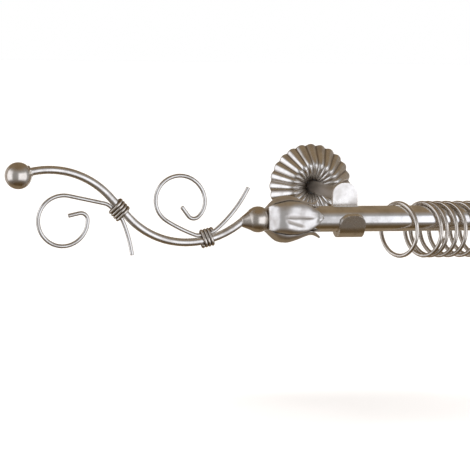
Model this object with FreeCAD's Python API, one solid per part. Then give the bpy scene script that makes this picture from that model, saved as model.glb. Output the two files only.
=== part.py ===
"""Wrought-iron style curtain rod: tube, two scrolled finials, two wall brackets and sixteen rings.

Frame: X along the rod with 0 at mid-span, Y = 0 on the wall with the rod at negative Y, Z up with 0 on
the axis of the bracket arms. Millimetres. Each finial is drawn in its own frame, with its origin on the
rod axis at the tube's end and the finial reaching towards -X, and is then turned into place.
"""
import FreeCAD, Part
import math
import os

from FreeCAD import Placement, Rotation, Vector

# ---- overall ----
ROD_LENGTH = 1000.0          # the tube, end to end
ROD_DIAMETER = 20.0
ROD_WALL = 1.2
ROD_PROJECTION = 120.0       # wall to rod axis
ROD_DROP = 16.0              # rod axis below the arm axis
BRACKET_INSET = 62.0         # tube end to the middle of the hook

# ---- clearances ----
RUNNING_GAP = 0.06           # radial, a shaft turning or sliding in its hole
SEAT_GAP = 0.3               # tube in the hook, ring on the tube
TOUCH_GAP = 0.05             # between pieces that touch along a curved line
COVER_GAP = 0.4              # radial, rosette hole round the arm
PART_GAP = 0.25              # wire tie round the stem

# ---- bracket ----
STRIP_WIDTH = 20.0
STRIP_THICK = 4.0
BACK_TAB_HEIGHT = 27.0       # above the rod axis
FRONT_TAB_HEIGHT = 5.3
FRONT_TAB_LEAN = 24.0        # degrees outward
TAB_CORNER = 8.0
ARM_DIAMETER = 10.0
ARM_END_DIAMETER = 14.5
ARM_FLARE_LENGTH = 44.0
ARM_TENON_DIAMETER = 8.0
PLATE_DIAMETER = 50.0
PLATE_THICK = 3.0
SCREW_SPACING = 32.0
SCREW_THREAD = 4.0
SCREW_NECK = 4.4
SCREW_HEAD = 8.4
SCREW_HEAD_HEIGHT = 2.6
SCREW_REACH = 30.0           # into the wall
SCREW_POINT = 4.0
SCREW_HOLE_GAP = 0.3         # radial, screw neck in the plate
ROSETTE_RADIUS = 35.0
ROSETTE_HEIGHT = 19.0
ROSETTE_CREST_RADIUS = 17.5
ROSETTE_BOWL_DEPTH = 7.5     # crest down to the hole's edge
ROSETTE_THICK = 1.2
ROSETTE_FLUTES = 24
ROSETTE_SCALLOP = 1.1        # depth of the notch between two flutes at the rim

# ---- rings ----
RING_WIRE = 3.2
RING_INSIDE = 38.0
RING_YAW = 26.0
RING_PLACES = (103.0, 122.6, 127.2, 135.0, 142.4, 152.0, 160.0, 168.0)   # from the tube's end

# ---- finial: stem ----
STEM_DIAMETER = 6.2
STEM_THREAD = 6.0
STEM_THREAD_REACH = 28.0     # into the tube
STEM_STRAIGHT = 16.6         # outside the tube, before the first bend
NOSE_BEND = (11.8, 38.6)     # radius, degrees
VALLEY_BEND = (67.0, 40.0)
RISE_BEND = (60.8, 45.7)
STEM_RAMP = 22.3
CREST_BEND = 62.2
CREST_PAST_TOP = 23.0        # degrees from the crest to the ball's centre
BALL_DIAMETER = 20.2
BALL_SOCKET = 5.0            # stem's reach inside the ball

# ---- finial: tendrils ----
TENDRIL_DIAMETER = 3.0
OUTER_TIE_ALONG = 9.3        # from the start of the ramp to the middle of the outer tie
INNER_TIE_TURN = 15.5        # degrees round the valley bend, from its bottom to the inner tie
TIE_HALF_RUN = 5.5           # tendril runs beside the stem for this much each way
LOWER_SCROLL = ((10.5, 35.0), (27.1, 0.0), (19.3, 89.5), (19.3, 70.7), (17.9, 51.5), (19.4, 73.0),
                (5.1, 100.4), (8.7, 0.0))
LOWER_TAIL = ((7.0, -19.6), (104.9, -15.0))
UPPER_SCROLL = ((7.0, -29.6), (121.5, -11.4), (18.7, -90.0), (18.6, -90.6), (20.7, -50.3),
                (16.2, -52.6), (5.3, -98.2), (8.7, 0.0))
UPPER_TAIL = ((7.0, 21.1), (97.1, 24.4))

# ---- finial: ties, bead, calyx, plug ----
TIE_WIRE = 2.6
TIE_PITCH = 2.5
TIE_TURNS = 4
BEAD_DIAMETER = 20.0
BEAD_CENTRE = 10.1           # outside the tube's end
BEAD_NOSE = 13.2             # centre to the nose's tip
BEAD_NOSE_DIAMETER = 8.0
BEAD_TILT = 9.0
BEAD_NOSE_FROM = 48.0        # degrees round the sphere where the nose's cone starts
CALYX_THICK = 1.2
CALYX_BACK = 3.4             # outer face of the base, outside the tube's end
STUD_START = CALYX_BACK - CALYX_THICK    # the stem ends on the cup's inner face
CALYX_BASE_INSET = 1.5       # base's half width under the tube's radius
CALYX_TURN = -10.0           # about the rod, relative to the scroll's plane
CALYX_SLEEVE_GAP = 0.9       # petal neck off the tube
PETAL_OVERHANG = 2.8         # petal's half width over the tube's radius
PETAL_BELLY = 6.2            # belly's rise over the neck
PETAL_NECK_AT = 31.5
PETAL_TIP_AT = 38.5
PETAL_CURL = 3.4             # tip's rise over the neck
PETAL_TIP_HALF = 2.4
PETAL_BEND_AT = 0.5          # middle of the bend from base to petal
PETAL_BEND_RISE = 0.36       # of the belly's rise
PETAL_BELLY_AT = 0.34        # of the way to the neck
PETAL_FALL_AT = 0.7          # of the way to the neck, where the belly has fallen by half
PETAL_SHOULDER_AT = 3.0
PETAL_SHOULDER_CUT = 0.6     # narrower than the neck there
PETAL_WIDEST_AT = 0.42       # of the way to the neck
PETAL_TAPER_AT = 0.85        # of the way to the neck
PETAL_TAPER_WIDTH = 0.83     # of the full width there
PLUG_LENGTH = 30.0
PLUG_FLANGE = 1.6
PLUG_STEP = 0.1              # flange off the tube's end

ROD_RADIUS = ROD_DIAMETER / 2
ROD_BORE_RADIUS = ROD_RADIUS - ROD_WALL
CALYX_BASE_HALF = ROD_RADIUS - CALYX_BASE_INSET
PETAL_HALF_WIDTH = ROD_RADIUS + PETAL_OVERHANG
STEM_RADIUS = STEM_DIAMETER / 2
TENDRIL_RADIUS = TENDRIL_DIAMETER / 2
TENDRIL_OFFSET = STEM_RADIUS + TENDRIL_RADIUS + TOUCH_GAP
HOOK_X = ROD_LENGTH / 2 - BRACKET_INSET
X_AXIS = Vector(1, 0, 0)
Y_AXIS = Vector(0, 1, 0)
Z_AXIS = Vector(0, 0, 1)


def rounded(shape, radius, picked):
    """Fillet the picked edges."""
    return shape.makeFillet(radius, [edge for edge in shape.Edges if picked(edge)])


def heading_vector(degrees):
    """Unit vector in the XZ plane, counted from +X towards +Z."""
    angle = math.radians(degrees)
    return Vector(math.cos(angle), 0, math.sin(angle))


def left_of(degrees):
    """Unit vector square to a heading, on its left as seen from the front."""
    return heading_vector(degrees + 90)


def bend_route(start, heading, moves):
    """Edges of a wire bent in the XZ plane: each move is (radius, turn) or (length, 0)."""
    edges = []
    point = start
    for size, turn in moves:
        if turn == 0:
            end = point + heading_vector(heading) * size
            edges.append(Part.LineSegment(point, end).toShape())
        else:
            side = math.copysign(1.0, turn)
            centre = point + left_of(heading) * size * side
            middle = centre - left_of(heading + turn / 2) * size * side
            end = centre - left_of(heading + turn) * size * side
            edges.append(Part.Arc(point, middle, end).toShape())
        point = end
        heading += turn
    return edges, point, heading


def round_bar(edges, start, direction, radius):
    """Solid round wire along the edges."""
    profile = Part.Wire(Part.makeCircle(radius, start, direction))
    return Part.Wire(edges).makePipeShell([profile], True, False)


# ---- rod ----
def rod_point(x):
    """Point on the rod axis."""
    return Vector(x, -ROD_PROJECTION, -ROD_DROP)


def make_tube():
    start = rod_point(-ROD_LENGTH / 2)
    outside = Part.makeCylinder(ROD_RADIUS, ROD_LENGTH, start, X_AXIS)
    return outside.cut(Part.makeCylinder(ROD_BORE_RADIUS, ROD_LENGTH, start, X_AXIS))


def make_ring(x):
    """Plain wire ring hanging on the tube, turned a little about the vertical."""
    middle_radius = (RING_INSIDE + RING_WIRE) / 2
    drop = RING_INSIDE / 2 - ROD_RADIUS - SEAT_GAP
    ring = Part.makeTorus(middle_radius, RING_WIRE / 2, Vector(0, 0, 0), X_AXIS)
    ring.Placement = Placement(rod_point(x) - Z_AXIS * drop, Rotation(Z_AXIS, -math.copysign(RING_YAW, x)))
    return ring


# ---- bracket ----
def make_wall_plate(x):
    plate = Part.makeCylinder(PLATE_DIAMETER / 2, PLATE_THICK, Vector(x, 0, 0), -Y_AXIS)
    tenon = Part.makeCylinder(ARM_TENON_DIAMETER / 2 + TOUCH_GAP, PLATE_THICK, Vector(x, 0, 0), -Y_AXIS)
    plate = plate.cut(tenon)
    for z in (-SCREW_SPACING / 2, SCREW_SPACING / 2):
        radius = SCREW_NECK / 2 + SCREW_HOLE_GAP
        plate = plate.cut(Part.makeCylinder(radius, PLATE_THICK, Vector(x, 0, z), -Y_AXIS))
    return plate


def make_wall_screw(x, z):
    """Pan-head screw: head on the plate, smooth neck in it, thread and point in the wall."""
    seat = Vector(x, -PLATE_THICK, z)
    head = Part.makeCylinder(SCREW_HEAD / 2, SCREW_HEAD_HEIGHT, seat - Y_AXIS * SCREW_HEAD_HEIGHT, Y_AXIS)
    head = rounded(head, SCREW_HEAD_HEIGHT * 0.6, lambda edge: edge.CenterOfMass.y < seat.y - 0.1
                   and edge.Closed)
    slot = Part.makeBox(SCREW_HEAD * 0.6, SCREW_HEAD_HEIGHT * 0.5, 1.0)
    slot.translate(Vector(x - SCREW_HEAD * 0.3, seat.y - SCREW_HEAD_HEIGHT, z - 0.5))
    cross = slot.copy()
    cross.rotate(Vector(x, 0, z), Y_AXIS, 90)
    head = head.cut(slot).cut(cross)
    neck = Part.makeCylinder(SCREW_NECK / 2, PLATE_THICK, seat, Y_AXIS)
    thread_length = SCREW_REACH - SCREW_POINT
    thread = Part.makeCylinder(SCREW_THREAD / 2, thread_length, Vector(x, 0, z), Y_AXIS)
    point = Part.makeCone(SCREW_THREAD / 2, 0, SCREW_POINT, Vector(x, thread_length, z), Y_AXIS)
    return head.fuse([neck, thread, point]).removeSplitter()


def make_arm(x):
    """Round arm: tenon in the wall plate, plain shaft, then a flare that meets the hook's back tab."""
    end = ROD_PROJECTION - ROD_RADIUS - SEAT_GAP - STRIP_THICK
    flare_start = end - ARM_FLARE_LENGTH
    half_flare = flare_start + ARM_FLARE_LENGTH * 0.6
    slim = ARM_DIAMETER / 2
    wide = ARM_END_DIAMETER / 2

    def at(along, radius):
        return Vector(x, -along, radius)

    flare = Part.BSplineCurve()
    flare.interpolate([at(flare_start, slim), at(half_flare, slim + (wide - slim) * 0.3), at(end, wide)])
    edges = [
        Part.LineSegment(at(0, 0), at(0, ARM_TENON_DIAMETER / 2)).toShape(),
        Part.LineSegment(at(0, ARM_TENON_DIAMETER / 2), at(PLATE_THICK, ARM_TENON_DIAMETER / 2)).toShape(),
        Part.LineSegment(at(PLATE_THICK, ARM_TENON_DIAMETER / 2), at(PLATE_THICK, slim)).toShape(),
        Part.LineSegment(at(PLATE_THICK, slim), at(flare_start, slim)).toShape(),
        flare.toShape(),
        Part.LineSegment(at(end, wide), at(end, 0)).toShape(),
        Part.LineSegment(at(end, 0), at(0, 0)).toShape(),
    ]
    return Part.Face(Part.Wire(edges)).revolve(Vector(x, 0, 0), Y_AXIS, 360)


def tab_outline(x, top, y_from, y_to):
    """Prism whose front outline is the strip's width, rounded at the top corners."""
    half = STRIP_WIDTH / 2
    bottom = -ROD_RADIUS * 2
    box = Part.makeBox(STRIP_WIDTH, y_to - y_from, top - bottom, Vector(x - half, y_from, bottom))
    corner = min(TAB_CORNER, half - 0.5)
    return rounded(box, corner, lambda edge: abs(edge.CenterOfMass.z - top) < 0.01
                   and abs(abs(edge.CenterOfMass.x - x) - half) < 0.01)


def make_hook(x):
    """J hook bent from flat strip: tall back tab, round seat, short front tab that leans outward."""
    inner = ROD_RADIUS + SEAT_GAP
    outer = inner + STRIP_THICK
    last = -180.0 + FRONT_TAB_LEAN

    def seat(radius, degrees):
        angle = math.radians(degrees)
        return Vector(x, radius * math.cos(angle), radius * math.sin(angle))

    lean = math.radians(FRONT_TAB_LEAN)
    rise = Vector(0, -math.sin(lean), math.cos(lean))
    tab_length = (FRONT_TAB_HEIGHT + inner * math.sin(lean)) / math.cos(lean)
    back_top = BACK_TAB_HEIGHT
    edges = [
        Part.LineSegment(Vector(x, inner, back_top), seat(inner, 0)).toShape(),
        Part.Arc(seat(inner, 0), seat(inner, last / 2), seat(inner, last)).toShape(),
        Part.LineSegment(seat(inner, last), seat(inner, last) + rise * tab_length).toShape(),
        Part.LineSegment(seat(inner, last) + rise * tab_length,
                         seat(outer, last) + rise * tab_length).toShape(),
        Part.LineSegment(seat(outer, last) + rise * tab_length, seat(outer, last)).toShape(),
        Part.Arc(seat(outer, last), seat(outer, last / 2), seat(outer, 0)).toShape(),
        Part.LineSegment(seat(outer, 0), Vector(x, outer, back_top)).toShape(),
        Part.LineSegment(Vector(x, outer, back_top), Vector(x, inner, back_top)).toShape(),
    ]
    strip = Part.Face(Part.Wire(edges)).extrude(X_AXIS * STRIP_WIDTH)
    strip.translate(X_AXIS * (-STRIP_WIDTH / 2))
    reach = outer * 2
    mask = tab_outline(x, BACK_TAB_HEIGHT, 0, reach).fuse(tab_outline(x, FRONT_TAB_HEIGHT, -reach, 0))
    hook = strip.common(mask)
    hook.translate(Vector(0, -ROD_PROJECTION, -ROD_DROP))
    return hook


def sheet_section(curve, square, thickness, count):
    """Closed outline of bent sheet: one face follows the curve, the other lies a thickness to its side.

    square is the normal of the section's plane; along x square points to the other face."""
    inner_points = []
    for index in range(count + 1):
        at = curve.FirstParameter + (curve.LastParameter - curve.FirstParameter) * index / count
        along = curve.tangent(at)[0]
        inner_points.append(curve.value(at) + along.cross(square).normalize() * thickness)
    inner = Part.BSplineCurve()
    inner.interpolate(inner_points)
    ends = [
        Part.LineSegment(curve.value(curve.FirstParameter), inner_points[0]).toShape(),
        Part.LineSegment(curve.value(curve.LastParameter), inner_points[-1]).toShape(),
    ]
    return Part.Face(Part.Wire(Part.__sortEdges__([curve.toShape(), inner.toShape()] + ends)))


def make_rosette(x):
    """Pressed cover: slope from the scalloped rim up to a round crest, then a bowl down to the arm's hole."""
    hole = ARM_DIAMETER / 2 + COVER_GAP
    crest = ROSETTE_CREST_RADIUS
    slope = ROSETTE_RADIUS - crest
    floor = ROSETTE_HEIGHT - ROSETTE_BOWL_DEPTH
    outline = ((ROSETTE_RADIUS, ROSETTE_THICK), (crest + slope * 0.66, ROSETTE_HEIGHT * 0.45),
               (crest + slope * 0.28, ROSETTE_HEIGHT * 0.88), (crest, ROSETTE_HEIGHT),
               (crest - (crest - hole) * 0.5, floor + ROSETTE_BOWL_DEPTH * 0.67), (hole, floor))
    curve = Part.BSplineCurve()
    curve.interpolate([Vector(x + radius, -height, 0) for radius, height in outline])
    shell = sheet_section(curve, Z_AXIS, ROSETTE_THICK, 24).revolve(Vector(x, 0, 0), Y_AXIS, 360)
    notch_radius = ROSETTE_RADIUS * math.pi / ROSETTE_FLUTES * 0.45
    notches = []
    for index in range(ROSETTE_FLUTES):
        angle = 2 * math.pi * (index + 0.5) / ROSETTE_FLUTES
        out = Vector(math.cos(angle), 0, math.sin(angle)) * (ROSETTE_RADIUS + notch_radius - ROSETTE_SCALLOP)
        notches.append(Part.makeCylinder(notch_radius, ROSETTE_HEIGHT, Vector(x, 0, 0) + out, -Y_AXIS))
    return shell.cut(Part.makeCompound(notches))


# ---- finial, in its own frame ----
def stem_moves():
    """Bends of the stem from the tube's end to the ball."""
    in_ball = math.degrees((BALL_DIAMETER / 2 - BALL_SOCKET) / CREST_BEND)
    return [
        (STEM_STRAIGHT, 0.0),
        NOSE_BEND,
        (VALLEY_BEND[0], -VALLEY_BEND[1]),
        (RISE_BEND[0], -RISE_BEND[1]),
        (STEM_RAMP, 0.0),
        (CREST_BEND, RISE_BEND[1] + CREST_PAST_TOP - in_ball),
    ]


def make_stem():
    start = Vector(0, 0, 0)
    edges, _, _ = bend_route(start, 180.0, stem_moves())
    bar = round_bar(edges, start, -X_AXIS, STEM_RADIUS)
    return bar.cut(Part.makeBox(STUD_START + 1, ROD_DIAMETER, ROD_DIAMETER,
                                Vector(-STUD_START, -ROD_RADIUS, -ROD_RADIUS)))


def make_stud():
    """Threaded stud on the stem's end, which screws into the plug."""
    return Part.makeCylinder(STEM_THREAD / 2, STEM_THREAD_REACH + STUD_START, Vector(-STUD_START, 0, 0), X_AXIS)


def ball_centre():
    moves = stem_moves()
    moves[-1] = (CREST_BEND, RISE_BEND[1] + CREST_PAST_TOP)
    _, point, _ = bend_route(Vector(0, 0, 0), 180.0, moves)
    return point


def make_ball(stem):
    return Part.makeSphere(BALL_DIAMETER / 2, ball_centre()).cut(stem)


def outer_tie_place():
    """Stem's axis point and heading at the outer tie."""
    moves = stem_moves()[:4] + [(OUTER_TIE_ALONG, 0.0)]
    _, point, heading = bend_route(Vector(0, 0, 0), 180.0, moves)
    return point, heading


def inner_tie_place():
    """Stem's axis point and heading at the inner tie."""
    turn = VALLEY_BEND[1] - INNER_TIE_TURN
    moves = stem_moves()[:2] + [(VALLEY_BEND[0], -turn)]
    _, point, heading = bend_route(Vector(0, 0, 0), 180.0, moves)
    return point, heading


def tendril(middle, heading, beside, scroll, tail):
    """Wire scroll: a run beside the stem, a scroll ahead of it and a tail behind it."""
    ahead, tip, tip_heading = bend_route(middle, heading, (beside[0],) + scroll)
    back, end, end_heading = bend_route(middle, heading + 180.0, (beside[1],) + tail)
    edges = Part.__sortEdges__(ahead + back)
    return round_bar(edges, tip, heading_vector(tip_heading), TENDRIL_RADIUS)


def make_lower_tendril():
    point, heading = outer_tie_place()
    run = (TIE_HALF_RUN, 0.0)
    middle = point + left_of(heading) * TENDRIL_OFFSET
    return tendril(middle, heading, (run, run), LOWER_SCROLL, LOWER_TAIL)


def make_upper_tendril():
    point, heading = inner_tie_place()
    radius = VALLEY_BEND[0] - TENDRIL_OFFSET
    turn = math.degrees(TIE_HALF_RUN / radius)
    middle = point - left_of(heading) * TENDRIL_OFFSET
    beside = ((radius, -turn), (radius, turn))
    return tendril(middle, heading, beside, UPPER_SCROLL, UPPER_TAIL)


def tie_turn(centre, axis, side):
    """One turn of tie wire, pulled round the stem and the tendril like a belt round two pulleys."""
    reach = TIE_WIRE / 2 + PART_GAP
    big = STEM_RADIUS + reach
    small = TENDRIL_RADIUS + reach
    across = axis.cross(side)
    lean = math.acos((big - small) / TENDRIL_OFFSET)
    far = centre + side * TENDRIL_OFFSET
    up = side * math.cos(lean) + across * math.sin(lean)
    down = side * math.cos(lean) - across * math.sin(lean)
    edges = [
        Part.LineSegment(centre + up * big, far + up * small).toShape(),
        Part.Arc(far + up * small, far + side * small, far + down * small).toShape(),
        Part.LineSegment(far + down * small, centre + down * big).toShape(),
        Part.Arc(centre + down * big, centre - side * big, centre + up * big).toShape(),
    ]
    direction = (far + up * small) - (centre + up * big)
    return round_bar(edges, centre + up * big, direction, TIE_WIRE / 2)


def make_tie(place, side_sign):
    """Wire wound closely round stem and tendril."""
    point, heading = place
    axis = heading_vector(heading)
    side = left_of(heading) * side_sign
    first = -TIE_PITCH * (TIE_TURNS - 1) / 2
    turns = [tie_turn(point + axis * (first + TIE_PITCH * index), axis, side) for index in range(TIE_TURNS)]
    return turns[0].fuse(turns[1:])


def make_bead(stem):
    """Onion-shaped bead: sphere with a conical nose, flat where it meets the calyx."""
    radius = BEAD_DIAMETER / 2
    nose = BEAD_NOSE_DIAMETER / 2
    meet = math.radians(BEAD_NOSE_FROM)
    centre = Vector(0, 0, 0)

    def at(along, out):
        return Vector(-along, 0, out)

    arc_end = at(radius * math.sin(meet), radius * math.cos(meet))
    edges = [
        Part.Arc(at(-radius, 0), at(0, radius), arc_end).toShape(),
        Part.LineSegment(arc_end, at(BEAD_NOSE, nose)).toShape(),
        Part.LineSegment(at(BEAD_NOSE, nose), at(BEAD_NOSE, 0)).toShape(),
        Part.LineSegment(at(BEAD_NOSE, 0), at(-radius, 0)).toShape(),
    ]
    bead = Part.Face(Part.Wire(edges)).revolve(centre, X_AXIS, 360)
    bead.rotate(centre, Y_AXIS, -BEAD_TILT)
    bead.translate(Vector(-BEAD_CENTRE, 0, 0))
    beyond = Part.makeBox(BEAD_DIAMETER, BEAD_DIAMETER * 2, BEAD_DIAMETER * 2,
                          Vector(-CALYX_BACK - TOUCH_GAP, -BEAD_DIAMETER, -BEAD_DIAMETER))
    return bead.cut(beyond).cut(stem)


def petal_curve(outward):
    """Petal's side view, from the base's edge to the curled tip, pushed outward by a distance."""
    neck = ROD_RADIUS + CALYX_SLEEVE_GAP
    belly = neck + PETAL_BELLY
    slant = outward * math.sqrt(0.5)
    curve = Part.BSplineCurve()
    curve.interpolate([
        Vector(-CALYX_BACK + CALYX_THICK - outward * 0.9, 0, CALYX_BASE_HALF + outward * 0.2),
        Vector(PETAL_BEND_AT - slant, 0, neck + PETAL_BELLY * PETAL_BEND_RISE + slant),
        Vector(PETAL_NECK_AT * PETAL_BELLY_AT, 0, belly + outward),
        Vector(PETAL_NECK_AT * PETAL_FALL_AT, 0, neck + PETAL_BELLY / 2 + outward),
        Vector(PETAL_NECK_AT, 0, neck + outward),
        Vector(PETAL_TIP_AT - slant, 0, neck + PETAL_CURL + slant),
    ])
    return curve.toShape()


def petal_outline():
    """Petal's plan: narrow at the base, widest over the belly, pointed at the tip."""
    half = PETAL_HALF_WIDTH
    neck = ROD_RADIUS + CALYX_SLEEVE_GAP
    base = CALYX_BASE_HALF - TOUCH_GAP

    def side(sign):
        curve = Part.BSplineCurve()
        curve.interpolate([
            Vector(-CALYX_BACK, sign * base, 0),
            Vector(PETAL_SHOULDER_AT, sign * (neck - PETAL_SHOULDER_CUT), 0),
            Vector(PETAL_NECK_AT * PETAL_WIDEST_AT, sign * half, 0),
            Vector(PETAL_NECK_AT * PETAL_TAPER_AT, sign * half * PETAL_TAPER_WIDTH, 0),
            Vector(PETAL_TIP_AT, sign * PETAL_TIP_HALF, 0),
        ])
        return curve.toShape()

    base_edge = Part.LineSegment(Vector(-CALYX_BACK, -base, 0), Vector(-CALYX_BACK, base, 0)).toShape()
    tip_corner = Vector(PETAL_TIP_AT, PETAL_TIP_HALF, 0)
    tip_edge = Part.LineSegment(tip_corner - Y_AXIS * PETAL_TIP_HALF * 2, tip_corner).toShape()
    loop = Part.__sortEdges__([side(-1), side(1), base_edge, tip_edge])
    return Part.Face(Part.Wire(loop)).extrude(Z_AXIS * ROD_DIAMETER * 2)


def make_calyx():
    """Cross-shaped sheet bent into a cup: square base and four petals that close on the tube and curl out."""
    inside = petal_curve(0)
    outside = petal_curve(CALYX_THICK)
    ends = [
        Part.LineSegment(inside.Vertexes[0].Point, outside.Vertexes[0].Point).toShape(),
        Part.LineSegment(inside.Vertexes[-1].Point, outside.Vertexes[-1].Point).toShape(),
    ]
    section = Part.Face(Part.Wire(Part.__sortEdges__([inside, outside] + ends)))
    band = section.extrude(Y_AXIS * PETAL_HALF_WIDTH * 2)
    band.translate(Y_AXIS * -PETAL_HALF_WIDTH)
    petal = band.common(petal_outline())
    half = CALYX_BASE_HALF + CALYX_THICK * 0.2
    base = Part.makeBox(CALYX_THICK, half * 2, half * 2, Vector(-CALYX_BACK, -half, -half))
    petals = []
    for quarter in range(4):
        turned = petal.copy()
        turned.rotate(Vector(0, 0, 0), X_AXIS, 90 * quarter)
        petals.append(turned)
    calyx = base.fuse(petals)
    hole = STEM_RADIUS + TOUCH_GAP
    calyx = calyx.cut(Part.makeCylinder(hole, ROD_DIAMETER, Vector(-ROD_RADIUS, 0, 0), X_AXIS))
    calyx.rotate(Vector(0, 0, 0), X_AXIS, CALYX_TURN)
    return calyx


def make_plug():
    """Flanged plug in the tube's end, with the thread for the stem."""
    flange = Part.makeCylinder(ROD_RADIUS, PLUG_FLANGE, Vector(-PLUG_STEP - PLUG_FLANGE, 0, 0), X_AXIS)
    shank = Part.makeCylinder(ROD_BORE_RADIUS - RUNNING_GAP, PLUG_LENGTH + PLUG_STEP,
                              Vector(-PLUG_STEP, 0, 0), X_AXIS)
    thread = Part.makeCylinder(STEM_THREAD / 2 + RUNNING_GAP, ROD_LENGTH, Vector(-ROD_RADIUS, 0, 0), X_AXIS)
    return flange.fuse(shank).removeSplitter().cut(thread)


def finial_pieces():
    """Every piece of a finial in the finial's own frame."""
    stem = make_stem()
    return {
        "end_ball": make_ball(stem),
        "stem": stem,
        "stud": make_stud(),
        "lower_tendril": make_lower_tendril(),
        "upper_tendril": make_upper_tendril(),
        "outer_tie": make_tie(outer_tie_place(), 1),
        "inner_tie": make_tie(inner_tie_place(), -1),
        "nose_bead": make_bead(stem),
        "calyx": make_calyx(),
        "tube_plug": make_plug(),
    }


def placed_finial(side):
    """Finial pieces at one end of the rod: -1 is the left end, 1 the right."""
    turn = Rotation(Z_AXIS, 0 if side < 0 else 180)
    place = Placement(rod_point(side * ROD_LENGTH / 2), turn)
    placed = {}
    for name, shape in finial_pieces().items():
        shape = shape.copy()
        shape.Placement = place.multiply(shape.Placement)
        placed[name] = shape
    return placed


def bracket_pieces(x):
    screws = [make_wall_screw(x, z) for z in (-SCREW_SPACING / 2, SCREW_SPACING / 2)]
    return {
        "wall_plate": make_wall_plate(x),
        "wall_screws": Part.makeCompound(screws),
        "bracket_arm": make_arm(x),
        "rod_hook": make_hook(x),
        "rosette": make_rosette(x),
    }


def all_pieces():
    pieces = {"rod_tube": make_tube()}
    for side, word in ((-1, "left"), (1, "right")):
        for name, shape in placed_finial(side).items():
            pieces[f"{name}_{word}"] = shape
        for name, shape in bracket_pieces(side * HOOK_X).items():
            pieces[f"{name}_{word}"] = shape
        for number, place in enumerate(RING_PLACES, start=1):
            pieces[f"ring_{word}_{number}"] = make_ring(side * (ROD_LENGTH / 2 - place))
    return pieces


def main():
    os.makedirs("parts", exist_ok=True)
    for name, shape in all_pieces().items():
        if not shape.isValid():
            raise ValueError(name + " isn't valid")
        shape.exportStep("parts/" + name + ".step")
        print(f"{name:24s} {shape.Volume:10.1f} mm3, {len(shape.Solids)} solids")


main()
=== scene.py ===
"""Looks of a wrought-iron style curtain rod: silvered tube, scrolled finials, hook brackets and rings.

Lengths in the dataclasses are millimetres and are turned into metres where a mesh is made. A finial is
drawn in its own frame, with its origin on the rod axis at the tube's end and the finial reaching to -X.
"""
import logging
import math
from dataclasses import dataclass, field
from enum import Enum
from typing import Optional, Sequence

import bmesh
import bpy
from mathutils import Matrix, Vector, noise


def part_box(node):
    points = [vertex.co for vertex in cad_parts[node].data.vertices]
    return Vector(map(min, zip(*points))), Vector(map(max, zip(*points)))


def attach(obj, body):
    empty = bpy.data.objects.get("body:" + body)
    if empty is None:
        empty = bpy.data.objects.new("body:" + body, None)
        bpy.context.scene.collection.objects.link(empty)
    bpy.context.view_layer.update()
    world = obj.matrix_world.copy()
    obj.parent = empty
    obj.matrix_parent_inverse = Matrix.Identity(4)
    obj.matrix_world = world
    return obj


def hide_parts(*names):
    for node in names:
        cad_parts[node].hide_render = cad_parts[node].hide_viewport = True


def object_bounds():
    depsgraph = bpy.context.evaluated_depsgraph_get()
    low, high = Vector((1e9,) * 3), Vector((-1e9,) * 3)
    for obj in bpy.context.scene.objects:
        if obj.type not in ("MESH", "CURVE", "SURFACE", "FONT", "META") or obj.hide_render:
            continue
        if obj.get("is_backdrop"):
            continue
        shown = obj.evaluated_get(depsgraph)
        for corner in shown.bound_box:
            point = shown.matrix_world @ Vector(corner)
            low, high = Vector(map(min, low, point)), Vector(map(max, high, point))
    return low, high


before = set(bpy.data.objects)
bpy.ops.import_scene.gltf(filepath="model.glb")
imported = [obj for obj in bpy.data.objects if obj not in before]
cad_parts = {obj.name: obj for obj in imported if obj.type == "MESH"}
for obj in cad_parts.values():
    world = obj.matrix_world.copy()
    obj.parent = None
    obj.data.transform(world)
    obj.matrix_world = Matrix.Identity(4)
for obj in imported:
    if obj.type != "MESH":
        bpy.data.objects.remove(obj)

LOG = logging.getLogger("curtain_rod")
MM = 0.001
X_AXIS = Vector((1, 0, 0))
Y_AXIS = Vector((0, 1, 0))
Z_AXIS = Vector((0, 0, 1))
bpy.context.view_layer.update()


# ---------------------------------------------------------------- frame
class End(Enum):
    """The two ends of the rod."""

    LEFT = -1
    RIGHT = 1

    @property
    def word(self) -> str:
        """Name used in nodes and bodies."""
        return self.name.lower()


class Slot(Enum):
    """Material slots of the record."""

    SILVER = "antique_silver"
    NYLON = "plug_nylon"
    PLATE = "plate_zinc"
    SCREW = "screw_zinc"


def middle(node: str) -> Vector:
    """Centre of a node's box, in metres."""
    low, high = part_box(node)
    return (low + high) / 2


def rod_end(end: End) -> Vector:
    """Point on the rod axis at one end of the tube.

    Args:
        end: which end of the rod.

    Returns:
        The point, in metres.
    """
    low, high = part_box("rod_tube")
    centre = (low + high) / 2
    return Vector((low.x if end is End.LEFT else high.x, centre.y, centre.z))


def finial_matrix(end: End) -> Matrix:
    """Place of a finial drawn in its own frame.

    Args:
        end: which end of the rod.

    Returns:
        Matrix from the finial's millimetres to the row frame's metres.
    """
    turn = Matrix.Rotation(0.0 if end is End.LEFT else math.pi, 4, "Z")
    return Matrix.Translation(rod_end(end)) @ turn @ Matrix.Scale(MM, 4)


# ---------------------------------------------------------------- nodes
def add_socket(tree: bpy.types.NodeTree, label: str, kind: str, output: bool = False) -> None:
    """Add a named socket to a node group's interface.

    Args:
        tree: the node group.
        label: the socket's name.
        kind: the socket's type, without its NodeSocket prefix.
        output: True for an output.
    """
    tree.interface.new_socket(name=label, in_out="OUTPUT" if output else "INPUT",
                              socket_type="NodeSocket" + kind)


def socket_id(tree: bpy.types.NodeTree, label: str) -> str:
    """Identifier of a named input socket."""
    for item in tree.interface.items_tree:
        if item.name == label and item.in_out == "INPUT":
            return item.identifier
    raise KeyError(label)


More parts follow.
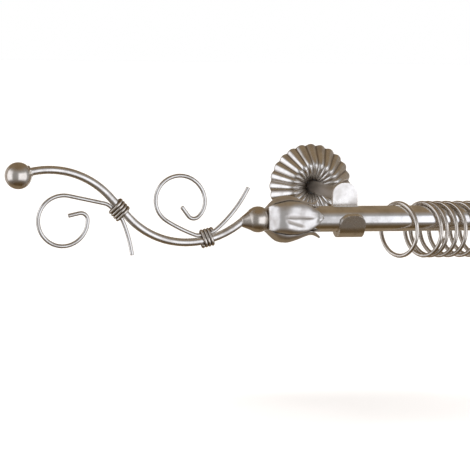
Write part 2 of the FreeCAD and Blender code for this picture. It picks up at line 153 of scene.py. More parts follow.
class Bench:
    """Short hand for laying out nodes in one tree."""

    def __init__(self, tree: bpy.types.NodeTree) -> None:
        """Start on a tree."""
        self.tree = tree

    def node(self, kind: str, **settings: object) -> bpy.types.Node:
        """Add a node and set its properties.

        Args:
            kind: the node's type.
            settings: attributes to set on it.

        Returns:
            The node.
        """
        made = self.tree.nodes.new(kind)
        for key, value in settings.items():
            setattr(made, key, value)
        return made

    def feed(self, socket: bpy.types.NodeSocket, source: object) -> None:
        """Link a socket to another socket, or set its value.

        Args:
            socket: the input.
            source: an output socket, or a plain value.
        """
        if isinstance(source, bpy.types.NodeSocket):
            self.tree.links.new(source, socket)
        else:
            socket.default_value = source

    def math(self, operation: str, *sources: object) -> bpy.types.NodeSocket:
        """Add a Math node.

        Args:
            operation: the operation's name.
            sources: sockets or numbers for its inputs.

        Returns:
            Its output.
        """
        made = self.node("ShaderNodeMath", operation=operation)
        for socket, source in zip(made.inputs, sources):
            self.feed(socket, source)
        return made.outputs[0]

    def vector(self, operation: str, *sources: object) -> bpy.types.Node:
        """Add a Vector Math node.

        Args:
            operation: the operation's name.
            sources: sockets or vectors for its inputs.

        Returns:
            The node.
        """
        made = self.node("ShaderNodeVectorMath", operation=operation)
        for socket, source in zip(made.inputs, sources):
            self.feed(socket, source)
        return made

    def ramp(self, value: object, low: object, high: object, start: float = 0.0,
             end: float = 1.0) -> bpy.types.NodeSocket:
        """Add a smooth Map Range node.

        Args:
            value: what is mapped.
            low: value at which the result starts to change.
            high: value at which it stops changing.
            start: result at low.
            end: result at high.

        Returns:
            Its output.
        """
        made = self.node("ShaderNodeMapRange", interpolation_type="SMOOTHSTEP")
        for label, source in (("Value", value), ("From Min", low), ("From Max", high),
                              ("To Min", start), ("To Max", end)):
            self.feed(made.inputs[label], source)
        return made.outputs["Result"]

    def blend(self, amount: object, one: object, other: object) -> bpy.types.NodeSocket:
        """Mix two colours.

        Args:
            amount: 0 for the first colour, 1 for the second.
            one: first colour.
            other: second colour.

        Returns:
            The mixed colour.
        """
        made = self.node("ShaderNodeMix", data_type="RGBA")
        self.feed(made.inputs["Factor"], amount)
        for socket, source in zip([s for s in made.inputs if s.type == "RGBA"], (one, other)):
            self.feed(socket, source if isinstance(source, bpy.types.NodeSocket) else (*source, 1.0))
        return [s for s in made.outputs if s.type == "RGBA"][0]


# ---------------------------------------------------------------- finishes
@dataclass(frozen=True)
class MetalFinish:
    """A worked metal surface with tarnish in its hollows, and painted shade where the hollow attribute marks
    it between parts.

    Args:
        name: the material's name.
        bright: colour of the rubbed metal.
        tarnish_and_shade: colour left in the hollows by tarnish, also used as painted shade.
        smooth: roughness of the most polished spots.
        matt: roughness of the dullest spots.
        mottle: size of the clouds of tarnish, in millimetres.
        grain: size of the fine grain, in millimetres.
        dents: size of the hammer marks, in millimetres.
        grain_relief: height of the grain, in millimetres.
        dent_relief: height of the hammer marks, in millimetres.
        cloud: how much the clouds darken the metal.
    """

    name: str
    bright: tuple[float, float, float]
    tarnish_and_shade: tuple[float, float, float]
    smooth: float = 0.2
    matt: float = 0.34
    mottle: float = 9.0
    grain: float = 0.55
    dents: float = 4.5
    grain_relief: float = 0.006
    dent_relief: float = 0.02
    cloud: float = 0.3

    def build(self) -> bpy.types.Material:
        """Make the material.

        Returns:
            A node material on Object coordinates and the hollow attribute.
        """
        material = bpy.data.materials.new(self.name)
        material.use_nodes = True
        bench = Bench(material.node_tree)
        shader = material.node_tree.nodes["Principled BSDF"]
        place = bench.node("ShaderNodeTexCoord").outputs["Object"]
        clouds = self._noise(bench, place, self.mottle, 4.0)
        grain = self._noise(bench, place, self.grain, 2.0)
        dents = self._noise(bench, place, self.dents, 1.0)
        hollow = bench.node("ShaderNodeAttribute", attribute_name="hollow").outputs["Fac"]
        dull = bench.ramp(clouds, 0.42, 0.72, 0.0, self.cloud)
        speck = bench.ramp(grain, 0.58, 0.78, 0.0, self.cloud * 0.6)
        # hollow pulls the colour towards the tarnish colour: tarnish in the rosette's flutes, painted shade
        # between the tie's windings and on the arm, and a darker colour in the cup's chased lines.
        dark = bench.math("MAXIMUM", bench.math("ADD", dull, speck), hollow)
        bench.feed(shader.inputs["Base Color"],
                   bench.blend(bench.math("MINIMUM", dark, 1.0), self.bright, self.tarnish_and_shade))
        rough = bench.ramp(bench.math("ADD", clouds, bench.math("MULTIPLY", grain, 0.4)), 0.45, 0.95,
                           self.smooth, self.matt)
        bench.feed(shader.inputs["Roughness"],
                   bench.math("ADD", rough, bench.math("MULTIPLY", hollow, 0.2)))
        shader.inputs["Metallic"].default_value = 1.0
        relief = bench.math("ADD", bench.math("MULTIPLY", grain, self.grain_relief * MM),
                            bench.math("MULTIPLY", dents, self.dent_relief * MM))
        bump = bench.node("ShaderNodeBump")
        bump.inputs["Strength"].default_value = 1.0
        bump.inputs["Distance"].default_value = 1.0
        bench.feed(bump.inputs["Height"], relief)
        bench.feed(shader.inputs["Normal"], bump.outputs["Normal"])
        return material

    @staticmethod
    def _noise(bench: Bench, place: bpy.types.NodeSocket, size: float,
               detail: float) -> bpy.types.NodeSocket:
        """Noise of a feature size in millimetres.

        Args:
            bench: the tree's bench.
            place: coordinates.
            size: feature size.
            detail: octaves.

        Returns:
            Value between 0 and 1.
        """
        made = bench.node("ShaderNodeTexNoise")
        bench.feed(made.inputs["Vector"], place)
        made.inputs["Scale"].default_value = 1.0 / (size * MM)
        made.inputs["Detail"].default_value = detail
        return made.outputs["Fac"]


@dataclass(frozen=True)
class MouldedFinish:
    """Moulded nylon with a fine spark-eroded skin.

    Args:
        name: the material's name.
        colour: base colour.
        roughness: roughness of the skin.
        grain: size of the skin's pits, in millimetres.
    """

    name: str
    colour: tuple[float, float, float]
    roughness: float = 0.5
    grain: float = 0.3

    def build(self) -> bpy.types.Material:
        """Make the material.

        Returns:
            A node material on Object coordinates.
        """
        material = bpy.data.materials.new(self.name)
        material.use_nodes = True
        bench = Bench(material.node_tree)
        shader = material.node_tree.nodes["Principled BSDF"]
        place = bench.node("ShaderNodeTexCoord").outputs["Object"]
        pits = MetalFinish._noise(bench, place, self.grain, 2.0)
        lighter = tuple(channel * 1.5 for channel in self.colour)
        bench.feed(shader.inputs["Base Color"], bench.blend(pits, self.colour, lighter))
        bench.feed(shader.inputs["Roughness"], bench.ramp(pits, 0.3, 0.7, self.roughness - 0.08,
                                                          self.roughness + 0.1))
        bump = bench.node("ShaderNodeBump")
        bump.inputs["Distance"].default_value = 0.00002
        bench.feed(bump.inputs["Height"], pits)
        bench.feed(shader.inputs["Normal"], bump.outputs["Normal"])
        return material


SILVER = MetalFinish("antique silver", (0.80, 0.77, 0.725), (0.22, 0.165, 0.11))
ROLLED = MetalFinish("rolled silver", (0.86, 0.84, 0.81), SILVER.tarnish_and_shade, smooth=0.13, matt=0.21,
                     cloud=0.2, dent_relief=0.006)
# The next two are darker, browner copies of the silver: painted shade standing in for the darker look of the
# rings, ties, ball, bead and scroll wires.
DARKER = MetalFinish("aged silver", (0.70, 0.645, 0.575), (0.2, 0.145, 0.09), smooth=0.18, matt=0.3)
DRAWN = MetalFinish("drawn silver", (0.69, 0.665, 0.625), (0.2, 0.15, 0.1), smooth=0.18, matt=0.3)
HAMMERED = MetalFinish("hammered silver", (0.78, 0.75, 0.71), SILVER.tarnish_and_shade, smooth=0.3, matt=0.44,
                       dent_relief=0.05)
ZINC = MetalFinish("zinc plate", (0.66, 0.67, 0.69), (0.36, 0.35, 0.33), smooth=0.3, matt=0.42,
                   dent_relief=0.004)
NYLON = MouldedFinish("black nylon", (0.02, 0.02, 0.021))


@dataclass
class Paintbox:
    """The built materials."""

    silver: bpy.types.Material = field(default_factory=SILVER.build)
    rolled: bpy.types.Material = field(default_factory=ROLLED.build)
    darker: bpy.types.Material = field(default_factory=DARKER.build)
    drawn: bpy.types.Material = field(default_factory=DRAWN.build)
    hammered: bpy.types.Material = field(default_factory=HAMMERED.build)
    zinc: bpy.types.Material = field(default_factory=ZINC.build)
    nylon: bpy.types.Material = field(default_factory=NYLON.build)


# ---------------------------------------------------------------- node trees
def make_wire_tree() -> bpy.types.NodeTree:
    """Tree that turns a chain of edges into round wire.

    Returns:
        Node group with inputs Geometry, Wire Radius, Sides, Hollow Axis and Finish. The chain's taper
        attribute thins the wire, and sides of the wire that face along Hollow Axis are marked hollow, which
        paints shade between touching windings as well as tarnish.
    """
    tree = bpy.data.node_groups.new("round wire", "GeometryNodeTree")
    add_socket(tree, "Geometry", "Geometry")
    add_socket(tree, "Wire Radius", "Float")
    add_socket(tree, "Sides", "Int")
    add_socket(tree, "Hollow Axis", "Vector")
    add_socket(tree, "Finish", "Material")
    add_socket(tree, "Geometry", "Geometry", output=True)
    bench = Bench(tree)
    given = bench.node("NodeGroupInput")
    result = bench.node("NodeGroupOutput")
    chain = bench.node("GeometryNodeMeshToCurve")
    bench.feed(chain.inputs["Mesh"], given.outputs["Geometry"])
    section = bench.node("GeometryNodeCurvePrimitiveCircle")
    bench.feed(section.inputs["Resolution"], given.outputs["Sides"])
    bench.feed(section.inputs["Radius"], given.outputs["Wire Radius"])
    taper = bench.node("GeometryNodeInputNamedAttribute", data_type="FLOAT")
    taper.inputs["Name"].default_value = "taper"
    swept = bench.node("GeometryNodeCurveToMesh")
    bench.feed(swept.inputs["Curve"], chain.outputs["Curve"])
    bench.feed(swept.inputs["Profile Curve"], section.outputs["Curve"])
    bench.feed(swept.inputs["Scale"], taper.outputs["Attribute"])
    swept.inputs["Fill Caps"].default_value = True
    # Sides facing along Hollow Axis are painted darker: painted shade between touching windings, plus
    # tarnish.
    normal = bench.node("GeometryNodeInputNormal")
    facing = bench.vector("DOT_PRODUCT", normal.outputs["Normal"], given.outputs["Hollow Axis"])
    hollow = bench.ramp(bench.math("ABSOLUTE", facing.outputs["Value"]), 0.35, 0.95)
    store = bench.node("GeometryNodeStoreNamedAttribute", data_type="FLOAT", domain="POINT")
    store.inputs["Name"].default_value = "hollow"
    bench.feed(store.inputs["Geometry"], swept.outputs["Mesh"])
    bench.feed(store.inputs["Value"], hollow)
    shade = bench.node("GeometryNodeSetShadeSmooth")
    bench.feed(shade.inputs["Geometry"], store.outputs["Geometry"])
    real = bench.node("GeometryNodeRealizeInstances")
    bench.feed(real.inputs["Geometry"], shade.outputs["Geometry"])
    dress = bench.node("GeometryNodeSetMaterial")
    bench.feed(dress.inputs["Geometry"], real.outputs["Geometry"])
    bench.feed(dress.inputs["Material"], given.outputs["Finish"])
    bench.feed(result.inputs["Geometry"], dress.outputs["Geometry"])
    return tree


def make_flute_tree() -> bpy.types.NodeTree:
    """Tree that presses radial flutes into a turned sheet.

    Returns:
        Node group with inputs Geometry, Centre, Flutes, Inner Radius, Outer Radius, Inner Depth, Outer
        Depth and Finish. The sheet's outward attribute is the way each point faces out of the cover.
    """
    tree = bpy.data.node_groups.new("radial flutes", "GeometryNodeTree")
    add_socket(tree, "Geometry", "Geometry")
    add_socket(tree, "Centre", "Vector")
    for label in ("Flutes", "Inner Radius", "Outer Radius", "Inner Depth", "Outer Depth"):
        add_socket(tree, label, "Float")
    add_socket(tree, "Finish", "Material")
    add_socket(tree, "Geometry", "Geometry", output=True)
    bench = Bench(tree)
    given = bench.node("NodeGroupInput")
    result = bench.node("NodeGroupOutput")
    place = bench.node("GeometryNodeInputPosition")
    arm = bench.vector("SUBTRACT", place.outputs["Position"], given.outputs["Centre"])
    parts = bench.node("ShaderNodeSeparateXYZ")
    bench.feed(parts.inputs[0], arm.outputs["Vector"])
    angle = bench.math("ARCTAN2", parts.outputs["Z"], parts.outputs["X"])
    radius = bench.math("SQRT", bench.math("ADD", bench.math("POWER", parts.outputs["X"], 2.0),
                                           bench.math("POWER", parts.outputs["Z"], 2.0)))
    half = bench.math("MULTIPLY", bench.math("MULTIPLY", angle, given.outputs["Flutes"]), 0.5)
    crown = bench.math("ABSOLUTE", bench.math("COSINE", half))
    groove = bench.math("SUBTRACT", 1.0, crown)
    reach = bench.node("ShaderNodeMapRange")
    for label, source in (("Value", radius), ("From Min", given.outputs["Inner Radius"]),
                          ("From Max", given.outputs["Outer Radius"]),
                          ("To Min", given.outputs["Inner Depth"]),
                          ("To Max", given.outputs["Outer Depth"])):
        bench.feed(reach.inputs[label], source)
    press = bench.math("MULTIPLY", bench.math("MULTIPLY", groove, reach.outputs["Result"]), -1.0)
    outward = bench.node("GeometryNodeInputNamedAttribute", data_type="FLOAT_VECTOR")
    outward.inputs["Name"].default_value = "outward"
    push = bench.vector("SCALE", outward.outputs["Attribute"])
    bench.feed(push.inputs["Scale"], press)
    moved = bench.node("GeometryNodeSetPosition")
    bench.feed(moved.inputs["Geometry"], given.outputs["Geometry"])
    bench.feed(moved.inputs["Offset"], push.outputs["Vector"])
    store = bench.node("GeometryNodeStoreNamedAttribute", data_type="FLOAT", domain="POINT")
    store.inputs["Name"].default_value = "hollow"
    bench.feed(store.inputs["Geometry"], moved.outputs["Geometry"])
    bench.feed(store.inputs["Value"], bench.ramp(groove, 0.45, 1.0, 0.0, 0.85))
    shade = bench.node("GeometryNodeSetShadeSmooth")
    bench.feed(shade.inputs["Geometry"], store.outputs["Geometry"])
    real = bench.node("GeometryNodeRealizeInstances")
    bench.feed(real.inputs["Geometry"], shade.outputs["Geometry"])
    dress = bench.node("GeometryNodeSetMaterial")
    bench.feed(dress.inputs["Geometry"], real.outputs["Geometry"])
    bench.feed(dress.inputs["Material"], given.outputs["Finish"])
    bench.feed(result.inputs["Geometry"], dress.outputs["Geometry"])
    return tree


WIRE_TREE = make_wire_tree()
FLUTE_TREE = make_flute_tree()


# ---------------------------------------------------------------- meshes
def show(name: str, mesh: bpy.types.Mesh) -> bpy.types.Object:
    """Put a mesh in the scene, at the origin.

    Args:
        name: the object's name.
        mesh: its mesh, in the row frame.

    Returns:
        The object.
    """
    made = bpy.data.objects.new(name, mesh)
    bpy.context.scene.collection.objects.link(made)
    return made


def settle(made: bpy.types.Object) -> bpy.types.Object:
    """Replace an object's mesh by its evaluated one and drop its modifiers.

    Args:
        made: an object with modifiers.

    Returns:
        The same object with a plain mesh.
    """
    graph = bpy.context.evaluated_depsgraph_get()
    mesh = bpy.data.meshes.new_from_object(made.evaluated_get(graph), preserve_all_data_layers=True,
                                           depsgraph=graph)
    made.modifiers.clear()
    made.data = mesh
    return made


def grown(name: str, host: bpy.types.Mesh, tree: bpy.types.NodeTree,
          inputs: dict[str, object]) -> bpy.types.Object:
    """Run a node tree on a host mesh and keep the result as a plain mesh.

    Args:
        name: the object's name.
        host: mesh that the tree starts from.
        tree: the node group.
        inputs: values for its named inputs.

    Returns:
        The finished object.
    """
    made = show(name, host)
    modifier = made.modifiers.new("grow", "NODES")
    modifier.node_group = tree
    for label, value in inputs.items():
        modifier[socket_id(tree, label)] = value
    made.update_tag()
    bpy.context.view_layer.update()
    return face_out(settle(made))


def face_out(made: bpy.types.Object) -> bpy.types.Object:
    """Turn every face of a closed piece outward.

    Args:
        made: the piece.

    Returns:
        The same piece.
    """
    shell = bmesh.new()
    shell.from_mesh(made.data)
    bmesh.ops.recalc_face_normals(shell, faces=shell.faces)
    shell.to_mesh(made.data)
    shell.free()
    return made


def smooth_spline(points: Sequence[Sequence[float]], per_span: int) -> list[list[float]]:
    """Catmull-Rom curve through a few points of any dimension.

    Args:
        points: the points.
        per_span: samples on each span.

    Returns:
        Sampled points, ends included.
    """
    first = [2 * a - b for a, b in zip(points[0], points[1])]
    last = [2 * a - b for a, b in zip(points[-1], points[-2])]
    chain = [first, *points, last]
    samples = []
    for index in range(1, len(chain) - 2):
        p0, p1, p2, p3 = chain[index - 1:index + 3]
        for step in range(per_span):
            t = step / per_span
            samples.append([
                0.5 * (2 * b + (c - a) * t + (2 * a - 5 * b + 4 * c - d) * t * t
                       + (3 * b - a - 3 * c + d) * t ** 3)
                for a, b, c, d in zip(p0, p1, p2, p3)
            ])
    samples.append(list(points[-1]))
    return samples


def turned(profile: Sequence[tuple[float, float]], matrix: Matrix, around: int,
           closed: bool = False) -> bpy.types.Mesh:
    """Mesh of revolution about the local X axis.

    Args:
        profile: (along, radius) pairs; a radius of 0 is a pole.
        matrix: from local to row frame.
        around: facets round the axis.
        closed: True if the profile is a loop, as for a pipe.

    Returns:
        The mesh, smooth shaded.
    """
    shell = bmesh.new()
    rings = []
    for along, radius in profile:
        if radius < 1e-6:
            rings.append([shell.verts.new(matrix @ Vector((along, 0, 0)))] * around)
            continue
        ring = []
        for index in range(around):
            angle = 2 * math.pi * index / around
            ring.append(shell.verts.new(matrix @ Vector((along, radius * math.cos(angle),
                                                         radius * math.sin(angle)))))
        rings.append(ring)
    pairs = list(zip(rings, rings[1:]))
    if closed:
        pairs.append((rings[-1], rings[0]))
    for one, other in pairs:
        for index in range(around):
            after = (index + 1) % around
            corners = [one[index], one[after], other[after], other[index]]
            corners = [v for n, v in enumerate(corners) if v not in corners[:n]]
            if len(corners) > 2:
                shell.faces.new(corners)
    bmesh.ops.recalc_face_normals(shell, faces=shell.faces)
    for face in shell.faces:
        face.smooth = True
    mesh = bpy.data.meshes.new("turned")
    shell.to_mesh(mesh)
    shell.free()
    return mesh


def joined(name: str, meshes: Sequence[bpy.types.Mesh], material: bpy.types.Material) -> bpy.types.Object:
    """One object from several closed meshes.

    Args:
        name: the object's name.
        meshes: the meshes.
        material: the finish of all of them.

    Returns:
        The object.
    """
    shell = bmesh.new()
    for mesh in meshes:
        shell.from_mesh(mesh)
    mesh = bpy.data.meshes.new(name)
    shell.to_mesh(mesh)
    shell.free()
    mesh.materials.clear()
    mesh.materials.append(material)
    return show(name, mesh)


@dataclass(frozen=True)
class Bend:
    """One move of the bending jig: an arc of a radius and a turn in degrees, or a straight run."""

    size: float
    turn: float = 0.0


def heading_vector(degrees: float) -> Vector:
    """Unit vector in the XZ plane, counted from +X towards +Z."""
    return Vector((math.cos(math.radians(degrees)), 0.0, math.sin(math.radians(degrees))))


def left_of(degrees: float) -> Vector:
    """Unit vector on the left of a heading."""
    return heading_vector(degrees + 90)


def bent(start: Vector, heading: float, bends: Sequence[Bend],
         step: float = 1.0) -> tuple[list[Vector], float]:
    """Follow the bends of a wire in the XZ plane.

    Args:
        start: first point.
        heading: first heading in degrees.
        bends: the moves.
        step: largest distance between points.

    Returns:
        Points along the wire and the last heading.
    """
    points = [start.copy()]
    for bend in bends:
        length = bend.size if bend.turn == 0 else bend.size * math.radians(abs(bend.turn))
        count = max(1, math.ceil(length / step))
        for _ in range(count):
            middle_heading = heading + bend.turn / count / 2
            chord = length / count
            if bend.turn:
                chord = 2 * bend.size * math.sin(math.radians(abs(bend.turn)) / count / 2)
            points.append(points[-1] + heading_vector(middle_heading) * chord)
            heading += bend.turn / count
    return points, heading


def stations(points: Sequence[Vector], places: Sequence[float]) -> list[Vector]:
    """Points of a chain at given distances from its start.

    Args:
        points: the chain.
        places: distances, rising.

    Returns:
        One point for each distance.
    """
    runs = [0.0]
    for one, other in zip(points, points[1:]):
        runs.append(runs[-1] + (other - one).length)
    found = []
    index = 0
    for place in places:
        place = min(max(place, 0.0), runs[-1])
        while index < len(runs) - 2 and runs[index + 1] < place:
            index += 1
        span = max(runs[index + 1] - runs[index], 1e-9)
        found.append(points[index].lerp(points[index + 1], (place - runs[index]) / span))
    return found


def chain_length(points: Sequence[Vector]) -> float:
    """Length of a chain of points."""
    return sum((other - one).length for one, other in zip(points, points[1:]))


def wire(name: str, points: Sequence[Vector], radius: float, matrix: Matrix,
         material: bpy.types.Material, closed: bool = False, tapers: Optional[Sequence[float]] = None,
         tip: float = 0.5, sides: int = 20, hollow_axis: Vector = Vector()) -> bpy.types.Object:
    """Round wire along a chain of points, with its cut ends eased.

    Args:
        name: the object's name.
        points: the chain, in local units.
        radius: the wire's radius, in local units.
        matrix: from local units to the row frame.
        material: the finish.
        closed: True for a loop.
        tapers: thickness at each point of a loop, 1 for full.
        tip: radius of the eased edge at a cut end.
        sides: facets round the wire.
        hollow_axis: wire sides that face this way, or its opposite, are darkened: painted shade where
            windings press together, and tarnish.

    Returns:
        The finished object.
    """
    chain = list(points)
    sizes = list(tapers) if tapers else [1.0] * len(chain)
    if not closed:
        total = chain_length(chain)
        ease = [(tip * (1 - math.cos(math.radians(a))), 1 - tip / radius * (1 - math.sin(math.radians(a))))
                for a in range(0, 91, 18)]
        inner = [tip + (total - 2 * tip) * n / len(chain) for n in range(1, len(chain))]
        places = [d for d, _ in ease] + inner + [total - d for d, _ in reversed(ease)]
        sizes = [s for _, s in ease] + [1.0] * len(inner) + [s for _, s in reversed(ease)]
        chain = stations(chain, places)
    count = len(chain)
    edges = [(n, n + 1) for n in range(count - 1)] + ([(count - 1, 0)] if closed else [])
    host = bpy.data.meshes.new(name)
    host.from_pydata([matrix @ p for p in chain], edges, [])
    taper = host.attributes.new("taper", "FLOAT", "POINT")
    taper.data.foreach_set("value", sizes)
    return grown(name, host, WIRE_TREE, {
        "Wire Radius": radius * matrix.to_scale().x,
        "Sides": sides,
        "Hollow Axis": tuple(hollow_axis),
        "Finish": material,
    })


def place_piece(piece: bpy.types.Object, body: str, nodes: Sequence[str]) -> None:
    """Hand a finished piece to the frame and report it.

    Args:
        piece: the object.
        body: body that it moves with.
        nodes: CAD nodes that it stands for.
    """
    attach(piece, body)
    if nodes:
        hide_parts(*nodes)
    LOG.info("%s on %s, %d faces", piece.name, body, len(piece.data.polygons))


# ---------------------------------------------------------------- rod
@dataclass
class Tube:
    """Silvered steel tube with eased ends."""

    wall: float = 1.2
    ease: float = 0.3
    around: int = 96

    def build(self, paints: Paintbox) -> None:
        """Make the tube in the place of its node.

        Args:
            paints: the finishes.
        """
        low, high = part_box("rod_tube")
        radius = (high.z - low.z) / 2 / MM
        length = (high.x - low.x) / MM
        bore = radius - self.wall
        ease = self.ease
        profile = [(0, bore + ease), (0, radius - ease), (ease * 0.3, radius - ease * 0.3), (ease, radius),
                   (length / 3, radius), (length * 2 / 3, radius), (length - ease, radius),
                   (length - ease * 0.3, radius - ease * 0.3), (length, radius - ease),
                   (length, bore + ease), (length - ease, bore), (length * 2 / 3, bore),
                   (length / 3, bore), (ease, bore)]
        matrix = Matrix.Translation(rod_end(End.LEFT)) @ Matrix.Scale(MM, 4)
        piece = joined("silvered_tube", [turned(profile, matrix, self.around, closed=True)], paints.rolled)
        place_piece(piece, "rod", ["rod_tube"])


@dataclass
class CurtainRing:
    """Plain ring of round wire, butt-joined at its foot."""

    end: End
    number: int
    wire_size: float = 3.2
    points: int = 120
    joint_bulge: float = 0.07
    joint_width: float = 1.4

    def build(self, paints: Paintbox) -> None:
        """Make the ring in the place of its node.

        Args:
            paints: the finishes.
        """
        node = f"ring_{self.end.word}_{self.number}"
        low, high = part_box(node)
        outside = (high.z - low.z) / MM
        radius = (outside - self.wire_size) / 2
        lean = math.asin(((high.x - low.x) / MM - self.wire_size) / (2 * radius))
        matrix = (Matrix.Translation((low + high) / 2) @ Matrix.Rotation(-self.end.value * lean, 4, "Z")
                  @ Matrix.Scale(MM, 4))
        chain = []
        tapers = []
        for index in range(self.points):
            angle = 2 * math.pi * index / self.points - math.pi / 2
            chain.append(Vector((0, radius * math.cos(angle), radius * math.sin(angle))))
            away = min(index, self.points - index) / self.points * 2 * math.pi * radius
            tapers.append(1 + self.joint_bulge * math.exp(-(away / self.joint_width) ** 2))
        piece = wire(f"curtain_ring_{self.end.word}_{self.number}", chain, self.wire_size / 2, matrix,
                     paints.darker, closed=True, tapers=tapers)
        place_piece(piece, node, [node])


# ---------------------------------------------------------------- bracket
@dataclass
class Rosette:
    """Pressed cover with radial flutes and a scalloped rim."""

    thick: float = 1.2
    crest_radius: float = 17.5
    hole_radius: float = 5.4
    bowl_depth: float = 7.5
    flutes: int = 24
    rim_depth: float = 2.0
    hole_depth: float = 0.7
    per_flute: int = 14

    def build(self, end: End, paints: Paintbox) -> None:
        """Make one cover in the place of its node.

        Args:
            end: which bracket.
            paints: the finishes.
        """
        node = f"rosette_{end.word}"
        low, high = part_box(node)
        rim = (high.x - low.x) / 2 / MM
        height = -low.y / MM
        floor = height - self.bowl_depth
        slope = rim - self.crest_radius
        outline = [(rim, self.thick), (self.crest_radius + slope * 0.66, height * 0.45),
                   (self.crest_radius + slope * 0.28, height * 0.88), (self.crest_radius, height),
                   (self.crest_radius - (self.crest_radius - self.hole_radius) * 0.5,
                    floor + self.bowl_depth * 0.67), (self.hole_radius, floor)]
        outer = smooth_spline(outline, 9)
        normals = []
        for index in range(len(outer)):
            before = outer[max(index - 1, 0)]
            after = outer[min(index + 1, len(outer) - 1)]
            along = Vector((after[0] - before[0], after[1] - before[1])).normalized()
            normals.append(Vector((along.y, -along.x)))
        inner = [[p[0] - n.x * self.thick, p[1] - n.y * self.thick] for p, n in zip(outer, normals)]
        loop = [(p, n) for p, n in zip(outer, normals)]
        loop += [(p, n) for p, n in zip(reversed(inner), reversed(normals))]
        centre = middle(node)
        origin = Vector((centre.x, 0, centre.z))
        around = self.flutes * self.per_flute
        verts, outward = [], []
        for (radius, rise), normal in loop:
            for index in range(around):
                angle = 2 * math.pi * index / around
                spoke = Vector((math.cos(angle), 0, math.sin(angle)))
                verts.append(origin + (spoke * radius - Y_AXIS * rise) * MM)
                outward.append(spoke * normal.x - Y_AXIS * normal.y)
        faces = []
        for ring in range(len(loop)):
            other = (ring + 1) % len(loop)
            for index in range(around):
                after = (index + 1) % around
                faces.append((ring * around + index, ring * around + after,
                              other * around + after, other * around + index))
        host = bpy.data.meshes.new(node)
        host.from_pydata(verts, [], faces)
        layer = host.attributes.new("outward", "FLOAT_VECTOR", "POINT")
        layer.data.foreach_set("vector", [value for vector in outward for value in vector])
        piece = grown(f"fluted_rosette_{end.word}", host, FLUTE_TREE, {
            "Centre": tuple(origin),
            "Flutes": float(self.flutes),
            "Inner Radius": self.hole_radius * MM,
            "Outer Radius": rim * MM,
            "Inner Depth": self.hole_depth * MM,
            "Outer Depth": self.rim_depth * MM,
            "Finish": paints.silver,
        })
        place_piece(piece, f"rosette_{end.word}", [node])


@dataclass
class Hook:
    """J hook bent from flat strip with eased edges."""

    thick: float = 4.0
    seat_gap: float = 0.3
    back_height: float = 27.0
    front_height: float = 5.3
    front_lean: float = 24.0
    back_corner: float = 9.0
    front_corner: float = 8.0
    ease: float = 0.55
    across: int = 14

    def build(self, end: End, paints: Paintbox) -> None:
        """Make one hook in the place of its node.

        Args:
            end: which bracket.
            paints: the finishes.
        """
        node = f"rod_hook_{end.word}"
        low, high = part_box(node)
        half = (high.x - low.x) / 2 / MM
        axis = rod_end(end)
        centre = Vector(((low.x + high.x) / 2, axis.y, axis.z))
        tube_low, tube_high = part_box("rod_tube")
        seat = (tube_high.z - tube_low.z) / 2 / MM + self.seat_gap
        radius = seat + self.thick / 2
        lean = math.radians(self.front_lean)
        tab = (self.front_height + seat * math.sin(lean)) / math.cos(lean)
        chain = [Vector((0, radius, self.back_height)), Vector((0, radius, 0))]
        turns = 40
        for index in range(1, turns + 1):
            angle = -(math.pi - lean) * index / turns
            chain.append(Vector((0, radius * math.cos(angle), radius * math.sin(angle))))
        chain.append(chain[-1] + Vector((0, -math.sin(lean), math.cos(lean))) * tab)
        total = chain_length(chain)
        places = [self.back_corner * (1 - math.cos(math.pi / 2 * n / 10)) for n in range(11)]
        places += [self.back_corner + (total - self.back_corner - self.front_corner) * n / 50
                   for n in range(1, 50)]
        places += [total - self.front_corner * (1 - math.cos(math.pi / 2 * n / 10))
                   for n in range(10, -1, -1)]
        shell = bmesh.new()
        rows = []
        for place, point in zip(places, stations(chain, places)):
            wide = half
            for corner, away in ((self.back_corner, place), (self.front_corner, total - place)):
                if away < corner:
                    wide = min(wide, half - corner + math.sqrt(corner ** 2 - (corner - away) ** 2))
            row = []
            for step in range(self.across + 1):
                side = wide * (2 * step / self.across - 1)
                row.append(shell.verts.new(centre + (point + Vector((side, 0, 0))) * MM))
            rows.append(row)
        for one, other in zip(rows, rows[1:]):
            for step in range(self.across):
                shell.faces.new((one[step], one[step + 1], other[step + 1], other[step]))
        mesh = bpy.data.meshes.new(node)
        shell.to_mesh(mesh)
        shell.free()
        mesh.materials.append(paints.silver)
        piece = show(f"strip_hook_{end.word}", mesh)
        wall = piece.modifiers.new("wall", "SOLIDIFY")
        wall.thickness = self.thick * MM
        wall.offset = 0.0
        wall.use_even_offset = True
        edge = piece.modifiers.new("edge", "BEVEL")
        edge.width = self.ease * MM
        edge.segments = 3
        edge.limit_method = "ANGLE"
        edge.angle_limit = math.radians(50)
        face_out(settle(piece))
        for face in piece.data.polygons:
            face.use_smooth = True
        place_piece(piece, "brackets", [node])


